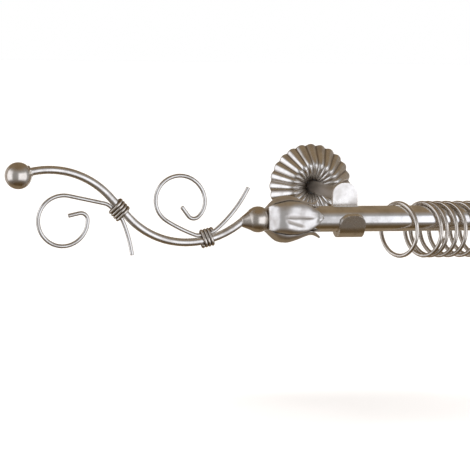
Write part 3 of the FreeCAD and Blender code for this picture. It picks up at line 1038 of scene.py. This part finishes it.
@dataclass
class Arm:
    """Round arm with a tenon at the wall, a flare at the hook and a weld round the flare."""

    plate: float = 3.0
    tenon: float = 4.0
    shaft: float = 5.0
    flare_length: float = 44.0
    weld: float = 0.9
    around: int = 64
    painted_shade: float = 0.5

    def build(self, end: End, paints: Paintbox) -> None:
        """Make one arm in the place of its node.

        Args:
            end: which bracket.
            paints: the finishes.
        """
        node = f"bracket_arm_{end.word}"
        low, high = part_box(node)
        length = (high.y - low.y) / MM
        wide = (high.x - low.x) / 2 / MM
        start = length - self.flare_length
        flare = smooth_spline([(start - 20, self.shaft), (start, self.shaft),
                               (start + self.flare_length * 0.6, self.shaft + (wide - self.shaft) * 0.3),
                               (length - 1.0, wide - 0.25)], 10)[10:]
        weld = [(length - 1.0 + self.weld * math.sin(a), wide - 0.25 + self.weld * (1 - math.cos(a)) * 0.6)
                for a in (0.5, 1.0, 1.4)]
        profile = [(0, 0), (0, self.tenon - 0.3), (0.3, self.tenon), (self.plate, self.tenon),
                   (self.plate, self.shaft - 0.2), (self.plate + 0.2, self.shaft)]
        profile += [tuple(p) for p in flare] + weld + [(length, wide), (length, 0)]
        centre = middle(node)
        turn = Matrix.Rotation(-math.pi / 2, 4, "Z")
        matrix = Matrix.Translation(Vector((centre.x, 0, centre.z))) @ turn @ Matrix.Scale(MM, 4)
        mesh = turned(profile, matrix, self.around)
        # Painted shade: the whole arm is pulled halfway towards the tarnish colour, for the shade the
        # rosette casts on it.
        dark = mesh.attributes.new("hollow", "FLOAT", "POINT")
        dark.data.foreach_set("value", [self.painted_shade] * len(mesh.vertices))
        piece = joined(f"round_arm_{end.word}", [mesh], paints.silver)
        place_piece(piece, "brackets", [node])


@dataclass
class WallScrews:
    """Two pan-head wood screws with rolled threads."""

    head: float = 4.2
    head_height: float = 2.6
    neck: float = 2.2
    core: float = 1.45
    crest: float = 2.0
    pitch: float = 1.8
    plate: float = 3.0
    point: float = 4.0
    recess: float = 2.3
    around: int = 40

    def build(self, end: End, paints: Paintbox) -> None:
        """Make the screws of one bracket in the place of their node.

        Args:
            end: which bracket.
            paints: the finishes.
        """
        node = f"wall_screws_{end.word}"
        low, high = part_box(node)
        reach = high.y / MM
        meshes = []
        for z in (low.z / MM + self.head, high.z / MM - self.head):
            origin = Vector(((low.x + high.x) / 2, 0, z * MM))
            matrix = Matrix.Translation(origin) @ Matrix.Rotation(math.pi / 2, 4, "Z") @ Matrix.Scale(MM, 4)
            meshes.append(self._body(matrix, reach))
            meshes.append(self._thread(matrix, reach, paints))
        piece = joined(f"pan_head_screws_{end.word}", meshes, paints.zinc)
        for face in piece.data.polygons:
            face.use_smooth = True
        place_piece(piece, "brackets", [node])

    def _body(self, matrix: Matrix, reach: float) -> bpy.types.Mesh:
        """Head, neck, core and point of one screw, with its cross recess cut.

        Args:
            matrix: the screw's place, with its origin on the plate's back.
            reach: how far the point lies behind the plate.

        Returns:
            The mesh.
        """
        top = -self.plate - self.head_height
        dome = [(top + self.head_height * 0.75 * (1 - math.cos(a)), self.head * math.sin(a))
                for a in (0.0, 0.35, 0.7, 1.05, 1.35, math.pi / 2)]
        profile = dome + [(-self.plate, self.head), (-self.plate, self.neck), (0, self.neck),
                          (1.0, self.core), (reach - self.point, self.core), (reach, 0)]
        body = show("screw_blank", turned(profile, matrix, self.around))
        cutters = []
        for angle in (0.0, math.pi / 2):
            shell = bmesh.new()
            bmesh.ops.create_cube(shell, size=1.0)
            size = Matrix.Diagonal((self.head_height * 1.2, self.recess * 2, 0.75, 1.0))
            shift = Matrix.Translation((top, 0, 0)) @ Matrix.Rotation(angle, 4, "X")
            bmesh.ops.transform(shell, matrix=matrix @ shift @ size, verts=shell.verts)
            mesh = bpy.data.meshes.new("recess")
            shell.to_mesh(mesh)
            shell.free()
            cutter = show("recess", mesh)
            cutters.append(cutter)
            cut = body.modifiers.new("recess", "BOOLEAN")
            cut.operation = "DIFFERENCE"
            cut.solver = "EXACT"
            cut.object = cutter
        settle(body)
        mesh = body.data
        for spare in (body, *cutters):
            bpy.data.objects.remove(spare)
        return mesh

    def _thread(self, matrix: Matrix, reach: float, paints: Paintbox) -> bpy.types.Mesh:
        """Helix of thread on one screw.

        Args:
            matrix: the screw's place, with its origin on the plate's back.
            reach: how far the point lies behind the plate.
            paints: the finishes.

        Returns:
            The mesh.
        """
        ridge = (self.crest - self.core) / 2 + 0.1
        radius = self.crest - ridge
        start, stop = 2.0, reach - self.point * 0.4
        count = int((stop - start) / self.pitch * 24)
        chain = []
        for index in range(count + 1):
            along = start + (stop - start) * index / count
            angle = 2 * math.pi * (along - start) / self.pitch
            shrink = min(1.0, (reach - along) / self.point + 0.1)
            chain.append(Vector((along, radius * shrink * math.cos(angle),
                                 radius * shrink * math.sin(angle))))
        made = wire("thread", chain, ridge, matrix, paints.zinc, tip=ridge * 0.9, sides=6)
        mesh = made.data
        bpy.data.objects.remove(made)
        return mesh


# ---------------------------------------------------------------- finial
@dataclass
class Stem:
    """Bends of the finial's stem, and where the scrolls are bound to it."""

    diameter: float = 6.2
    thread: float = 6.0
    thread_reach: float = 28.0
    stud_start: float = 2.2
    pitch: float = 1.0
    straight: float = 16.6
    nose: Bend = Bend(11.8, 38.6)
    valley: Bend = Bend(67.0, -40.0)
    rise: Bend = Bend(60.8, -45.7)
    ramp: float = 22.3
    crest_radius: float = 62.2
    crest_past_top: float = 23.0
    ball: float = 20.2
    ball_socket: float = 5.0
    outer_tie_along: float = 9.3
    inner_tie_turn: float = 15.5

    def bends(self, to_ball_centre: bool = False) -> list[Bend]:
        """Moves of the jig from the tube's end to the ball.

        Args:
            to_ball_centre: True to go on to the ball's centre.

        Returns:
            The moves.
        """
        in_ball = 0.0 if to_ball_centre else self.ball / 2 - self.ball_socket
        short = math.degrees(in_ball / self.crest_radius)
        crest = Bend(self.crest_radius, -self.rise.turn + self.crest_past_top - short)
        return [Bend(self.straight), self.nose, self.valley, self.rise, Bend(self.ramp), crest]

    def place(self, bends: Sequence[Bend]) -> tuple[Vector, float]:
        """Axis point and heading after some moves."""
        points, heading = bent(Vector(), 180.0, bends)
        return points[-1], heading

    def outer_tie(self) -> tuple[Vector, float]:
        """Axis point and heading at the outer tie."""
        return self.place(self.bends()[:4] + [Bend(self.outer_tie_along)])

    def inner_tie(self) -> tuple[Vector, float]:
        """Axis point and heading at the inner tie."""
        turn = self.valley.turn + self.inner_tie_turn
        return self.place(self.bends()[:2] + [Bend(self.valley.size, turn)])


@dataclass
class Finial:
    """Scrolled finial: ball, stem, two wire scrolls, two ties, onion bead, petal cup and plug."""

    stem: Stem = field(default_factory=Stem)
    wire_size: float = 3.0
    touch_gap: float = 0.05
    run: float = 5.5
    lower_scroll: tuple[Bend, ...] = (
        Bend(10.5, 35.0), Bend(27.1), Bend(19.3, 89.5), Bend(19.3, 70.7), Bend(17.9, 51.5),
        Bend(19.4, 73.0), Bend(5.1, 100.4), Bend(8.7))
    lower_tail: tuple[Bend, ...] = (Bend(7.0, -19.6), Bend(104.9, -15.0))
    upper_scroll: tuple[Bend, ...] = (
        Bend(7.0, -29.6), Bend(121.5, -11.4), Bend(18.7, -90.0), Bend(18.6, -90.6), Bend(20.7, -50.3),
        Bend(16.2, -52.6), Bend(5.3, -98.2), Bend(8.7))
    upper_tail: tuple[Bend, ...] = (Bend(7.0, 21.1), Bend(97.1, 24.4))
    tie_wire: float = 2.6
    tie_pitch: float = 2.58
    tie_turns: float = 3.75
    bead: float = 20.0
    bead_centre: float = 10.1
    bead_nose: float = 13.2
    bead_nose_radius: float = 4.0
    bead_tilt: float = 9.0
    cup_back: float = 3.4

    def build(self, end: End, paints: Paintbox) -> None:
        """Make every piece of one finial.

        Args:
            end: which end of the rod.
            paints: the finishes.
        """
        matrix = finial_matrix(end)
        body = f"finial_{end.word}"
        word = end.word
        pieces = {
            f"stem_{word}": self._stem(f"scrolled_stem_{word}", matrix, paints),
            f"stud_{word}": self._stud(f"threaded_stud_{word}", matrix, paints),
            f"end_ball_{word}": self._ball(f"silver_ball_{word}", matrix, paints),
            f"lower_tendril_{word}": self._lower(f"lower_scroll_{word}", matrix, paints),
            f"upper_tendril_{word}": self._upper(f"upper_scroll_{word}", matrix, paints),
            f"outer_tie_{word}": self._tie(f"outer_binding_{word}", self.stem.outer_tie(), 1.0, matrix,
                                           paints),
            f"inner_tie_{word}": self._tie(f"inner_binding_{word}", self.stem.inner_tie(), -1.0, matrix,
                                           paints),
            f"nose_bead_{word}": self._bead(f"onion_bead_{word}", matrix, paints),
            f"calyx_{word}": PetalCup().build(f"petal_cup_{word}", matrix, paints),
        }
        for node, piece in pieces.items():
            place_piece(piece, body, [node])
        place_piece(self._plug(f"barbed_plug_{word}", matrix, paints), f"plug_{word}",
                    [f"tube_plug_{word}"])

    @property
    def offset(self) -> float:
        """Distance between the axes of stem and scroll where they are bound."""
        return (self.stem.diameter + self.wire_size) / 2 + self.touch_gap

    def _stem(self, name: str, matrix: Matrix, paints: Paintbox) -> bpy.types.Object:
        """Round bar from the cup's base to the ball.

        Args:
            name: the object's name.
            matrix: the finial's place.
            paints: the finishes.

        Returns:
            The stem.
        """
        base = Vector((-self.stem.stud_start, 0, 0))
        points, _ = bent(Vector(), 180.0, self.stem.bends())
        outside = [base] + [point for point in points if point.x < base.x]
        return wire(name, outside, self.stem.diameter / 2 - 0.05, matrix, paints.silver, sides=32)

    def _stud(self, name: str, matrix: Matrix, paints: Paintbox) -> bpy.types.Object:
        """Stud with a thread of ridges, hidden in the plug.

        Args:
            name: the object's name.
            matrix: the finial's place.
            paints: the finishes.

        Returns:
            The stud.
        """
        crest = self.stem.thread / 2
        root = crest - self.stem.pitch * 0.6
        start, end = -self.stem.stud_start, self.stem.thread_reach
        profile = [(start, 0.0), (start, root)]
        for index in range(int((end - start) / self.stem.pitch) - 1):
            foot = start + 0.3 + index * self.stem.pitch
            profile += [(foot, root), (foot + self.stem.pitch * 0.45, crest),
                        (foot + self.stem.pitch * 0.55, crest)]
        profile += [(end - 0.6, root), (end, root - 0.5), (end, 0.0)]
        return joined(name, [turned(profile, matrix, 40)], paints.darker)

    def _ball(self, name: str, matrix: Matrix, paints: Paintbox) -> bpy.types.Object:
        """Ball with a bead of weld where the stem enters it.

        Args:
            name: the object's name.
            matrix: the finial's place.
            paints: the finishes.

        Returns:
            The ball.
        """
        points, heading = bent(Vector(), 180.0, self.stem.bends(to_ball_centre=True))
        centre = points[-1]
        radius = self.stem.ball / 2
        profile = [(-radius * math.cos(math.pi * n / 48), radius * math.sin(math.pi * n / 48))
                   for n in range(49)]
        profile[0], profile[-1] = (-radius, 0.0), (radius, 0.0)
        back = math.radians(heading + 180)
        turn = Matrix.Rotation(-back, 4, "Y")
        place = matrix @ Matrix.Translation(centre) @ turn
        seam = math.sqrt(radius ** 2 - (self.stem.diameter / 2 + 0.5) ** 2)
        weld = []
        for index in range(40):
            angle = 2 * math.pi * index / 40
            lump = 0.25 * math.sin(5 * angle) + 0.15 * math.sin(9 * angle + 1.0)
            weld.append(Vector((seam + 0.1 * lump, (self.stem.diameter / 2 + 0.35) * math.cos(angle),
                                (self.stem.diameter / 2 + 0.35) * math.sin(angle))))
        tapers = [1 + 0.2 * math.sin(7 * 2 * math.pi * n / 40) for n in range(40)]
        bead = wire("weld", weld, 0.95, place, paints.darker, closed=True, tapers=tapers, sides=12)
        mesh = bead.data
        bpy.data.objects.remove(bead)
        return joined(name, [turned(profile, place, 64), mesh], paints.darker)

    def _lower(self, name: str, matrix: Matrix, paints: Paintbox) -> bpy.types.Object:
        """Lower scroll, bound to the stem's ramp.

        Args:
            name: the object's name.
            matrix: the finial's place.
            paints: the finishes.

        Returns:
            The scroll.
        """
        point, heading = self.stem.outer_tie()
        start = point + left_of(heading) * self.offset
        ahead, _ = bent(start, heading, (Bend(self.run), *self.lower_scroll))
        back, _ = bent(start, heading + 180, (Bend(self.run), *self.lower_tail))
        return wire(name, back[:0:-1] + ahead, self.wire_size / 2, matrix, paints.drawn)

    def _upper(self, name: str, matrix: Matrix, paints: Paintbox) -> bpy.types.Object:
        """Upper scroll, bound in the stem's valley.

        Args:
            name: the object's name.
            matrix: the finial's place.
            paints: the finishes.

        Returns:
            The scroll.
        """
        point, heading = self.stem.inner_tie()
        start = point - left_of(heading) * self.offset
        radius = self.stem.valley.size - self.offset
        turn = math.degrees(self.run / radius)
        ahead, _ = bent(start, heading, (Bend(radius, -turn), *self.upper_scroll))
        back, _ = bent(start, heading + 180, (Bend(radius, turn), *self.upper_tail))
        return wire(name, back[:0:-1] + ahead, self.wire_size / 2, matrix, paints.drawn)

    def _tie(self, name: str, place: tuple[Vector, float], side: float, matrix: Matrix,
             paints: Paintbox) -> bpy.types.Object:
        """Wire wound closely round stem and scroll, like a belt round two pulleys.

        Args:
            name: the object's name.
            place: stem's axis point and heading in the middle of the tie.
            side: 1 if the scroll lies on the left of the stem, -1 on its right.
            matrix: the finial's place.
            paints: the finishes.

        Returns:
            The wound wire.
        """
        point, heading = place
        axis = heading_vector(heading)
        toward = left_of(heading) * side
        across = axis.cross(toward)
        reach = self.tie_wire / 2 + 0.05
        big, small = self.stem.diameter / 2 + reach, self.wire_size / 2 + reach
        lean = math.acos((big - small) / self.offset)
        far = toward * self.offset
        belt = []
        for index in range(13):
            angle = -lean + 2 * lean * index / 12
            belt.append(far + (toward * math.cos(angle) + across * math.sin(angle)) * small)
        for index in range(25):
            angle = lean + (2 * math.pi - 2 * lean) * index / 24
            belt.append((toward * math.cos(angle) + across * math.sin(angle)) * big)
        loop = belt + belt[:1]
        round_length = chain_length(loop)
        count = int(48 * self.tie_turns)
        chain = []
        for index in range(count + 1):
            turn = self.tie_turns * index / count
            spot = stations(loop, [(turn % 1.0) * round_length])[0]
            chain.append(point + spot + axis * self.tie_pitch * (turn - self.tie_turns / 2))
        # The winding's sides that face along the stem get painted shade, plus tarnish, through the hollow
        # mark.
        world_axis = (matrix.to_3x3() @ axis).normalized()
        return wire(name, chain, self.tie_wire / 2, matrix, paints.darker, tip=0.6, sides=16,
                    hollow_axis=world_axis)

    def _bead(self, name: str, matrix: Matrix, paints: Paintbox) -> bpy.types.Object:
        """Onion bead, flat at the cup and drawn out to a nose round the stem.

        Args:
            name: the object's name.
            matrix: the finial's place.
            paints: the finishes.

        Returns:
            The bead.
        """
        radius = self.bead / 2
        flat = self.cup_back + 0.05 - self.bead_centre
        start = math.asin(flat / radius)
        meet = math.radians(42)
        profile = [(flat, 0.0), (flat, radius * math.cos(start) - 0.3)]
        for index in range(30):
            angle = start + (meet - start) * index / 29
            profile.append((radius * math.sin(angle), radius * math.cos(angle)))
        nose = smooth_spline([(radius * math.sin(meet * 0.9), radius * math.cos(meet * 0.9)),
                              (radius * math.sin(meet), radius * math.cos(meet)),
                              (10.6, 5.1), (self.bead_nose - 0.5, self.bead_nose_radius),
                              (self.bead_nose, self.bead_nose_radius - 0.5)], 6)[7:]
        profile += [tuple(p) for p in nose] + [(self.bead_nose, 0.0)]
        tilt = Matrix.Rotation(math.radians(-self.bead_tilt), 4, "Y")
        flip = Matrix.Rotation(math.pi, 4, "Z")
        place = matrix @ Matrix.Translation((-self.bead_centre, 0, 0)) @ tilt @ flip
        piece = joined(name, [turned(profile, place, 72)], paints.darker)
        limit = -(self.cup_back + 0.05)
        back = matrix.inverted()
        for vertex in piece.data.vertices:
            spot = back @ vertex.co
            if spot.x > limit:
                spot.x = limit
                vertex.co = matrix @ spot
        return piece

    def _plug(self, name: str, matrix: Matrix, paints: Paintbox) -> bpy.types.Object:
        """Flanged plug with ring barbs that grip the tube's bore.

        Args:
            name: the object's name.
            matrix: the finial's place.
            paints: the finishes.

        Returns:
            The plug.
        """
        low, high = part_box("tube_plug_left")
        flange = (high.z - low.z) / 2 / MM
        bore, grip, core = self.stem.thread / 2 + 0.06, 8.72, 7.9
        profile = [(-1.7, bore), (-1.7, flange - 0.3), (-1.4, flange), (-0.4, flange), (-0.1, flange - 0.3),
                   (-0.1, grip)]
        for index in range(6):
            start = 1.5 + 4.6 * index
            profile += [(start, grip), (start + 0.3, core), (start + 1.6, core), (start + 4.2, grip)]
        profile += [(29.4, core), (30.0, core - 0.6), (30.0, bore)]
        mesh = turned(profile, matrix, 64, closed=True)
        for face in mesh.polygons:
            face.use_smooth = False
        return joined(name, [mesh], paints.nylon)


@dataclass
class PetalCup:
    """Cup of four petals bent from one sheet, closing on the tube and curling out at the tips."""

    thick: float = 1.1
    back: float = 3.4
    turn: float = -10.0
    hole: float = 3.3
    outline: tuple[tuple[float, float, float, float], ...] = (
        (-3.35, 8.7, 8.7, 0.0), (0.6, 13.3, 10.5, 2.0), (4.6, 16.6, 11.4, 4.4), (11.0, 18.2, 12.7, 4.8),
        (18.0, 16.9, 12.4, 3.8), (25.0, 14.0, 11.0, 2.4), (30.5, 12.4, 8.6, 1.8), (34.5, 12.7, 5.6, 0.7),
        (37.3, 14.4, 2.2, 0.2))
    tip: tuple[float, float, float, float] = (37.9, 14.9, 0.5, 0.0)
    per_span: int = 9
    across: int = 28
    groove: float = 0.75
    crease: float = 0.7
    hammer: float = 0.16
    hammer_size: float = 7.0

    def build(self, name: str, matrix: Matrix, paints: Paintbox) -> bpy.types.Object:
        """Make the cup.

        Args:
            name: the object's name.
            matrix: the finial's place.
            paints: the finishes.

        Returns:
            The cup.
        """
        rows = [[-self.back, r, r, 0.0] for r in (self.hole, 5.0, 6.8, 8.2)]
        rows += smooth_spline(self.outline, self.per_span)
        rows.append(list(self.tip))
        shell = bmesh.new()
        layer = shell.verts.layers.float.new("hollow")
        for quarter in range(4):
            self._petal(shell, layer, rows, quarter, matrix)
        bmesh.ops.remove_doubles(shell, verts=shell.verts, dist=0.02 * MM)
        bmesh.ops.recalc_face_normals(shell, faces=shell.faces)
        mesh = bpy.data.meshes.new(name)
        shell.to_mesh(mesh)
        shell.free()
        mesh.materials.append(paints.hammered)
        piece = show(name, mesh)
        self._face_away(piece, matrix)
        wall = piece.modifiers.new("wall", "SOLIDIFY")
        wall.thickness = self.thick * MM
        wall.offset = -1.0
        edge = piece.modifiers.new("edge", "BEVEL")
        edge.width = 0.25 * MM
        edge.segments = 2
        edge.limit_method = "ANGLE"
        edge.angle_limit = math.radians(55)
        settle(piece)
        for face in piece.data.polygons:
            face.use_smooth = True
        return piece

    def _petal(self, shell: bmesh.types.BMesh, layer: object, rows: Sequence[Sequence[float]],
               quarter: int, matrix: Matrix) -> None:
        """Add one petal and its quarter of the base to the shell.

        Args:
            shell: the cup's sheet so far.
            layer: how much darker the colour of each point is painted.
            rows: (along, radius, half width, drop) across the petal, from the base to the tip.
            quarter: which petal.
            matrix: the finial's place.
        """
        angle = math.radians(90 * quarter + self.turn)
        out = Vector((0, -math.cos(angle), -math.sin(angle)))
        side = X_AXIS.cross(out)
        grid = []
        for along, radius, wide, drop in rows:
            line = []
            for step in range(self.across + 1):
                v = 2 * step / self.across - 1
                dent, dark = self._dent(along, v, quarter)
                fall = drop * (0.3 * v ** 2 + 0.7 * v ** 6)
                spot = Vector((along, 0, 0)) + side * wide * v + out * (radius - fall - dent)
                vertex = shell.verts.new(matrix @ spot)
                # The chased vein and crease are painted darker.
                vertex[layer] = dark
                line.append(vertex)
            grid.append(line)
        for one, other in zip(grid, grid[1:]):
            for step in range(self.across):
                shell.faces.new((one[step], one[step + 1], other[step + 1], other[step]))

    def _dent(self, along: float, v: float, quarter: int) -> tuple[float, float]:
        """Depth of the chased lines and hammer marks at a point of a petal.

        Args:
            along: distance from the tube's end.
            v: place across the petal, -1 to 1.
            quarter: which petal.

        Returns:
            Depth in millimetres and how much darker the colour is painted there.
        """
        if along < 1.0:
            return 0.0, 0.0
        inside = min(1.0, max(0.0, (along - 6.0) / 5.0)) * min(1.0, max(0.0, (33.0 - along) / 6.0))
        vein = math.exp(-(v / 0.1) ** 2) * inside
        slant = 0.28 + 0.34 * (along - 10.0) / 14.0
        crease = math.exp(-((v - slant) / 0.09) ** 2)
        crease *= min(1.0, max(0.0, (along - 7.0) / 3.0)) * min(1.0, max(0.0, (25.0 - along) / 4.0))
        marks = noise.noise(Vector((along / self.hammer_size, v * 2.2, quarter * 7.3)))
        edge = min(1.0, (along - 1.0) / 5.0)
        depth = self.groove * vein + self.crease * crease + self.hammer * marks * 2 * edge
        return depth, min(0.8, 0.5 * vein + 0.7 * crease)

    @staticmethod
    def _face_away(piece: bpy.types.Object, matrix: Matrix) -> None:
        """Turn the single sheet so that its faces look away from the tube.

        Args:
            piece: the cup.
            matrix: the finial's place.
        """
        axis = matrix.translation
        turned_in = 0
        for face in piece.data.polygons:
            away = face.center - axis
            away.x = 0
            turned_in += 1 if face.normal.dot(away) < 0 else -1
        if turned_in > 0:
            piece.data.flip_normals()


# ---------------------------------------------------------------- studio
@dataclass(frozen=True)
class Window:
    """Angles between which a light shines, in degrees, with edges that fade.

    Args:
        opens: where it starts, and where it is full.
        closes: where it ends, and the last angle at which it is full.
    """

    opens: tuple[float, float]
    closes: tuple[float, float]

    def share(self, bench: Bench, angle: bpy.types.NodeSocket) -> bpy.types.NodeSocket:
        """How much of the light comes from an angle.

        Args:
            bench: the tree's bench.
            angle: the angle.

        Returns:
            Value between 0 and 1.
        """
        return bench.math("MULTIPLY", bench.ramp(angle, *self.opens), bench.ramp(angle, *self.closes))


@dataclass
class Studio:
    """Pale floor, soft light and camera.

    The world is a soft box in front, another on the left, a warm dim room above and dark ground below.
    """

    floor_drop: float = 120.0
    floor_size: float = 30.0
    aim: tuple[float, float, float] = (-528.0, -120.1, -27.9)
    distance: float = 1500.0
    azimuth: float = 12.5
    elevation: float = 6.0
    roll: float = 0.8
    lens: float = 149.94
    box_light: tuple[float, float, float] = (1.36, 1.4, 1.53)
    room: tuple[float, float, float] = (0.265, 0.195, 0.12)
    ground: tuple[float, float, float] = (0.115, 0.075, 0.035)
    haze: tuple[float, float, float] = (0.38, 0.38, 0.39)
    wall: tuple[float, float, float] = (0.27, 0.205, 0.135)
    rear_share: float = 0.5
    level_rise: Window = Window((-38.0, -24.0), (32.0, 17.0))
    tall_rise: Window = Window((-34.0, -20.0), (45.0, 25.0))
    front_bearing: Window = Window((-12.0, 5.0), (80.0, 64.0))
    side_bearing: Window = Window((-124.0, -108.0), (-54.0, -66.0))
    rear_corner: Window = Window((130.0, 138.0), (156.0, 148.0))
    above: tuple[float, float] = (25.0, 70.0)
    below: tuple[float, float] = (-70.0, -5.0)
    behind: tuple[float, float] = (95.0, 125.0)

    def build(self) -> None:
        """Set the stage."""
        self._floor()
        self._world()
        self._sun()
        self._camera()
        bpy.context.scene.view_settings.view_transform = "Standard"

    def _floor(self) -> None:
        """Large pale floor under the object."""
        low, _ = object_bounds()
        half = self.floor_size / 2
        level = low.z - self.floor_drop * MM
        mesh = bpy.data.meshes.new("floor")
        corners = [(-half, -half, level), (half, -half, level), (half, half, level), (-half, half, level)]
        mesh.from_pydata(corners, [], [(0, 1, 2, 3)])
        floor = show("floor", mesh)
        material = bpy.data.materials.new("pale floor")
        material.use_nodes = True
        shader = material.node_tree.nodes["Principled BSDF"]
        shader.inputs["Base Color"].default_value = (0.95, 0.95, 0.95, 1.0)
        shader.inputs["Roughness"].default_value = 1.0
        shader.inputs["Specular IOR Level"].default_value = 0.0
        mesh.materials.append(material)
        floor.visible_glossy = False
        floor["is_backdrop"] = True

    def _world(self) -> None:
        """Soft boxes and room, as a function of direction; plain white behind the object."""
        world = bpy.data.worlds.new("studio")
        bpy.context.scene.world = world
        world.use_nodes = True
        tree = world.node_tree
        tree.nodes.clear()
        bench = Bench(tree)
        direction = bench.node("ShaderNodeTexCoord").outputs["Generated"]
        parts = bench.node("ShaderNodeSeparateXYZ")
        bench.feed(parts.inputs[0], direction)
        rise = bench.math("DEGREES", bench.math("ARCSINE", parts.outputs["Z"]))
        ahead = bench.math("MULTIPLY", parts.outputs["Y"], -1.0)
        bearing = bench.math("DEGREES", bench.math("ARCTAN2", parts.outputs["X"], ahead))
        room = bench.blend(bench.ramp(rise, *self.above), self.haze, self.room)
        dim = bench.blend(bench.ramp(rise, *self.below), self.ground, room)
        corner = bench.math("ABSOLUTE", bearing)
        base = bench.blend(bench.ramp(corner, *self.behind), dim, self.wall)
        level = self.level_rise.share(bench, rise)
        front = bench.math("MULTIPLY", self.front_bearing.share(bench, bearing), level)
        side = bench.math("MULTIPLY", self.side_bearing.share(bench, bearing),
                          self.tall_rise.share(bench, rise))
        rear = bench.math("MULTIPLY", self.rear_corner.share(bench, corner),
                          bench.math("MULTIPLY", level, self.rear_share))
        boxes = bench.math("MAXIMUM", front, bench.math("MAXIMUM", side, rear))
        light = bench.blend(boxes, base, self.box_light)
        lit = bench.node("ShaderNodeBackground")
        bench.feed(lit.inputs["Color"], light)
        plain = bench.node("ShaderNodeBackground")
        plain.inputs["Color"].default_value = (1.0, 1.0, 1.0, 1.0)
        mix = bench.node("ShaderNodeMixShader")
        bench.feed(mix.inputs[0], bench.node("ShaderNodeLightPath").outputs["Is Camera Ray"])
        bench.feed(mix.inputs[1], lit.outputs[0])
        bench.feed(mix.inputs[2], plain.outputs[0])
        bench.feed(bench.node("ShaderNodeOutputWorld").inputs[0], mix.outputs[0])

    def _sun(self) -> None:
        """Wide soft light from above that whitens the floor and casts a faint shadow."""
        lamp = bpy.data.lights.new("overhead", "SUN")
        lamp.energy = 2.7
        lamp.angle = math.radians(60)
        made = bpy.data.objects.new("overhead", lamp)
        made.visible_glossy = False
        bpy.context.scene.collection.objects.link(made)

    def _camera(self) -> None:
        """Camera a little to the left of the bracket and above it."""
        turn, tilt, roll = (math.radians(a) for a in (self.azimuth, self.elevation, self.roll))
        forward = Vector((math.sin(turn) * math.cos(tilt), math.cos(turn) * math.cos(tilt), -math.sin(tilt)))
        level = Vector((math.cos(turn), -math.sin(turn), 0))
        up = level.cross(forward)
        right = level * math.cos(roll) + up * math.sin(roll)
        up = right.cross(forward)
        lens = bpy.data.cameras.new("camera")
        lens.lens = self.lens
        lens.clip_end = 100.0
        made = bpy.data.objects.new("camera", lens)
        bpy.context.scene.collection.objects.link(made)
        stand = Matrix.Translation(Vector(self.aim) * MM - forward * self.distance * MM)
        made.matrix_world = stand @ Matrix((
            (right.x, up.x, -forward.x, 0), (right.y, up.y, -forward.y, 0), (right.z, up.z, -forward.z, 0),
            (0, 0, 0, 1)))
        bpy.context.scene.camera = made


def dress_plates(paints: Paintbox) -> None:
    """Zinc finish for the wall plates, which keep their CAD shape."""
    for end in End:
        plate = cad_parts[f"wall_plate_{end.word}"]
        plate.data.materials.clear()
        plate.data.materials.append(paints.zinc)
        LOG.info("%s dressed", plate.name)


def main() -> None:
    """Build the rod from the tube outward, then the studio round it."""
    logging.basicConfig(level=logging.INFO, format="%(message)s")
    paints = Paintbox()
    Tube().build(paints)
    for end in End:
        Finial().build(end, paints)
        Arm().build(end, paints)
        Hook().build(end, paints)
        WallScrews().build(end, paints)
        Rosette().build(end, paints)
        for number in range(1, 9):
            CurtainRing(end, number).build(paints)
    dress_plates(paints)
    Studio().build()


if __name__ == "__main__":
    main()
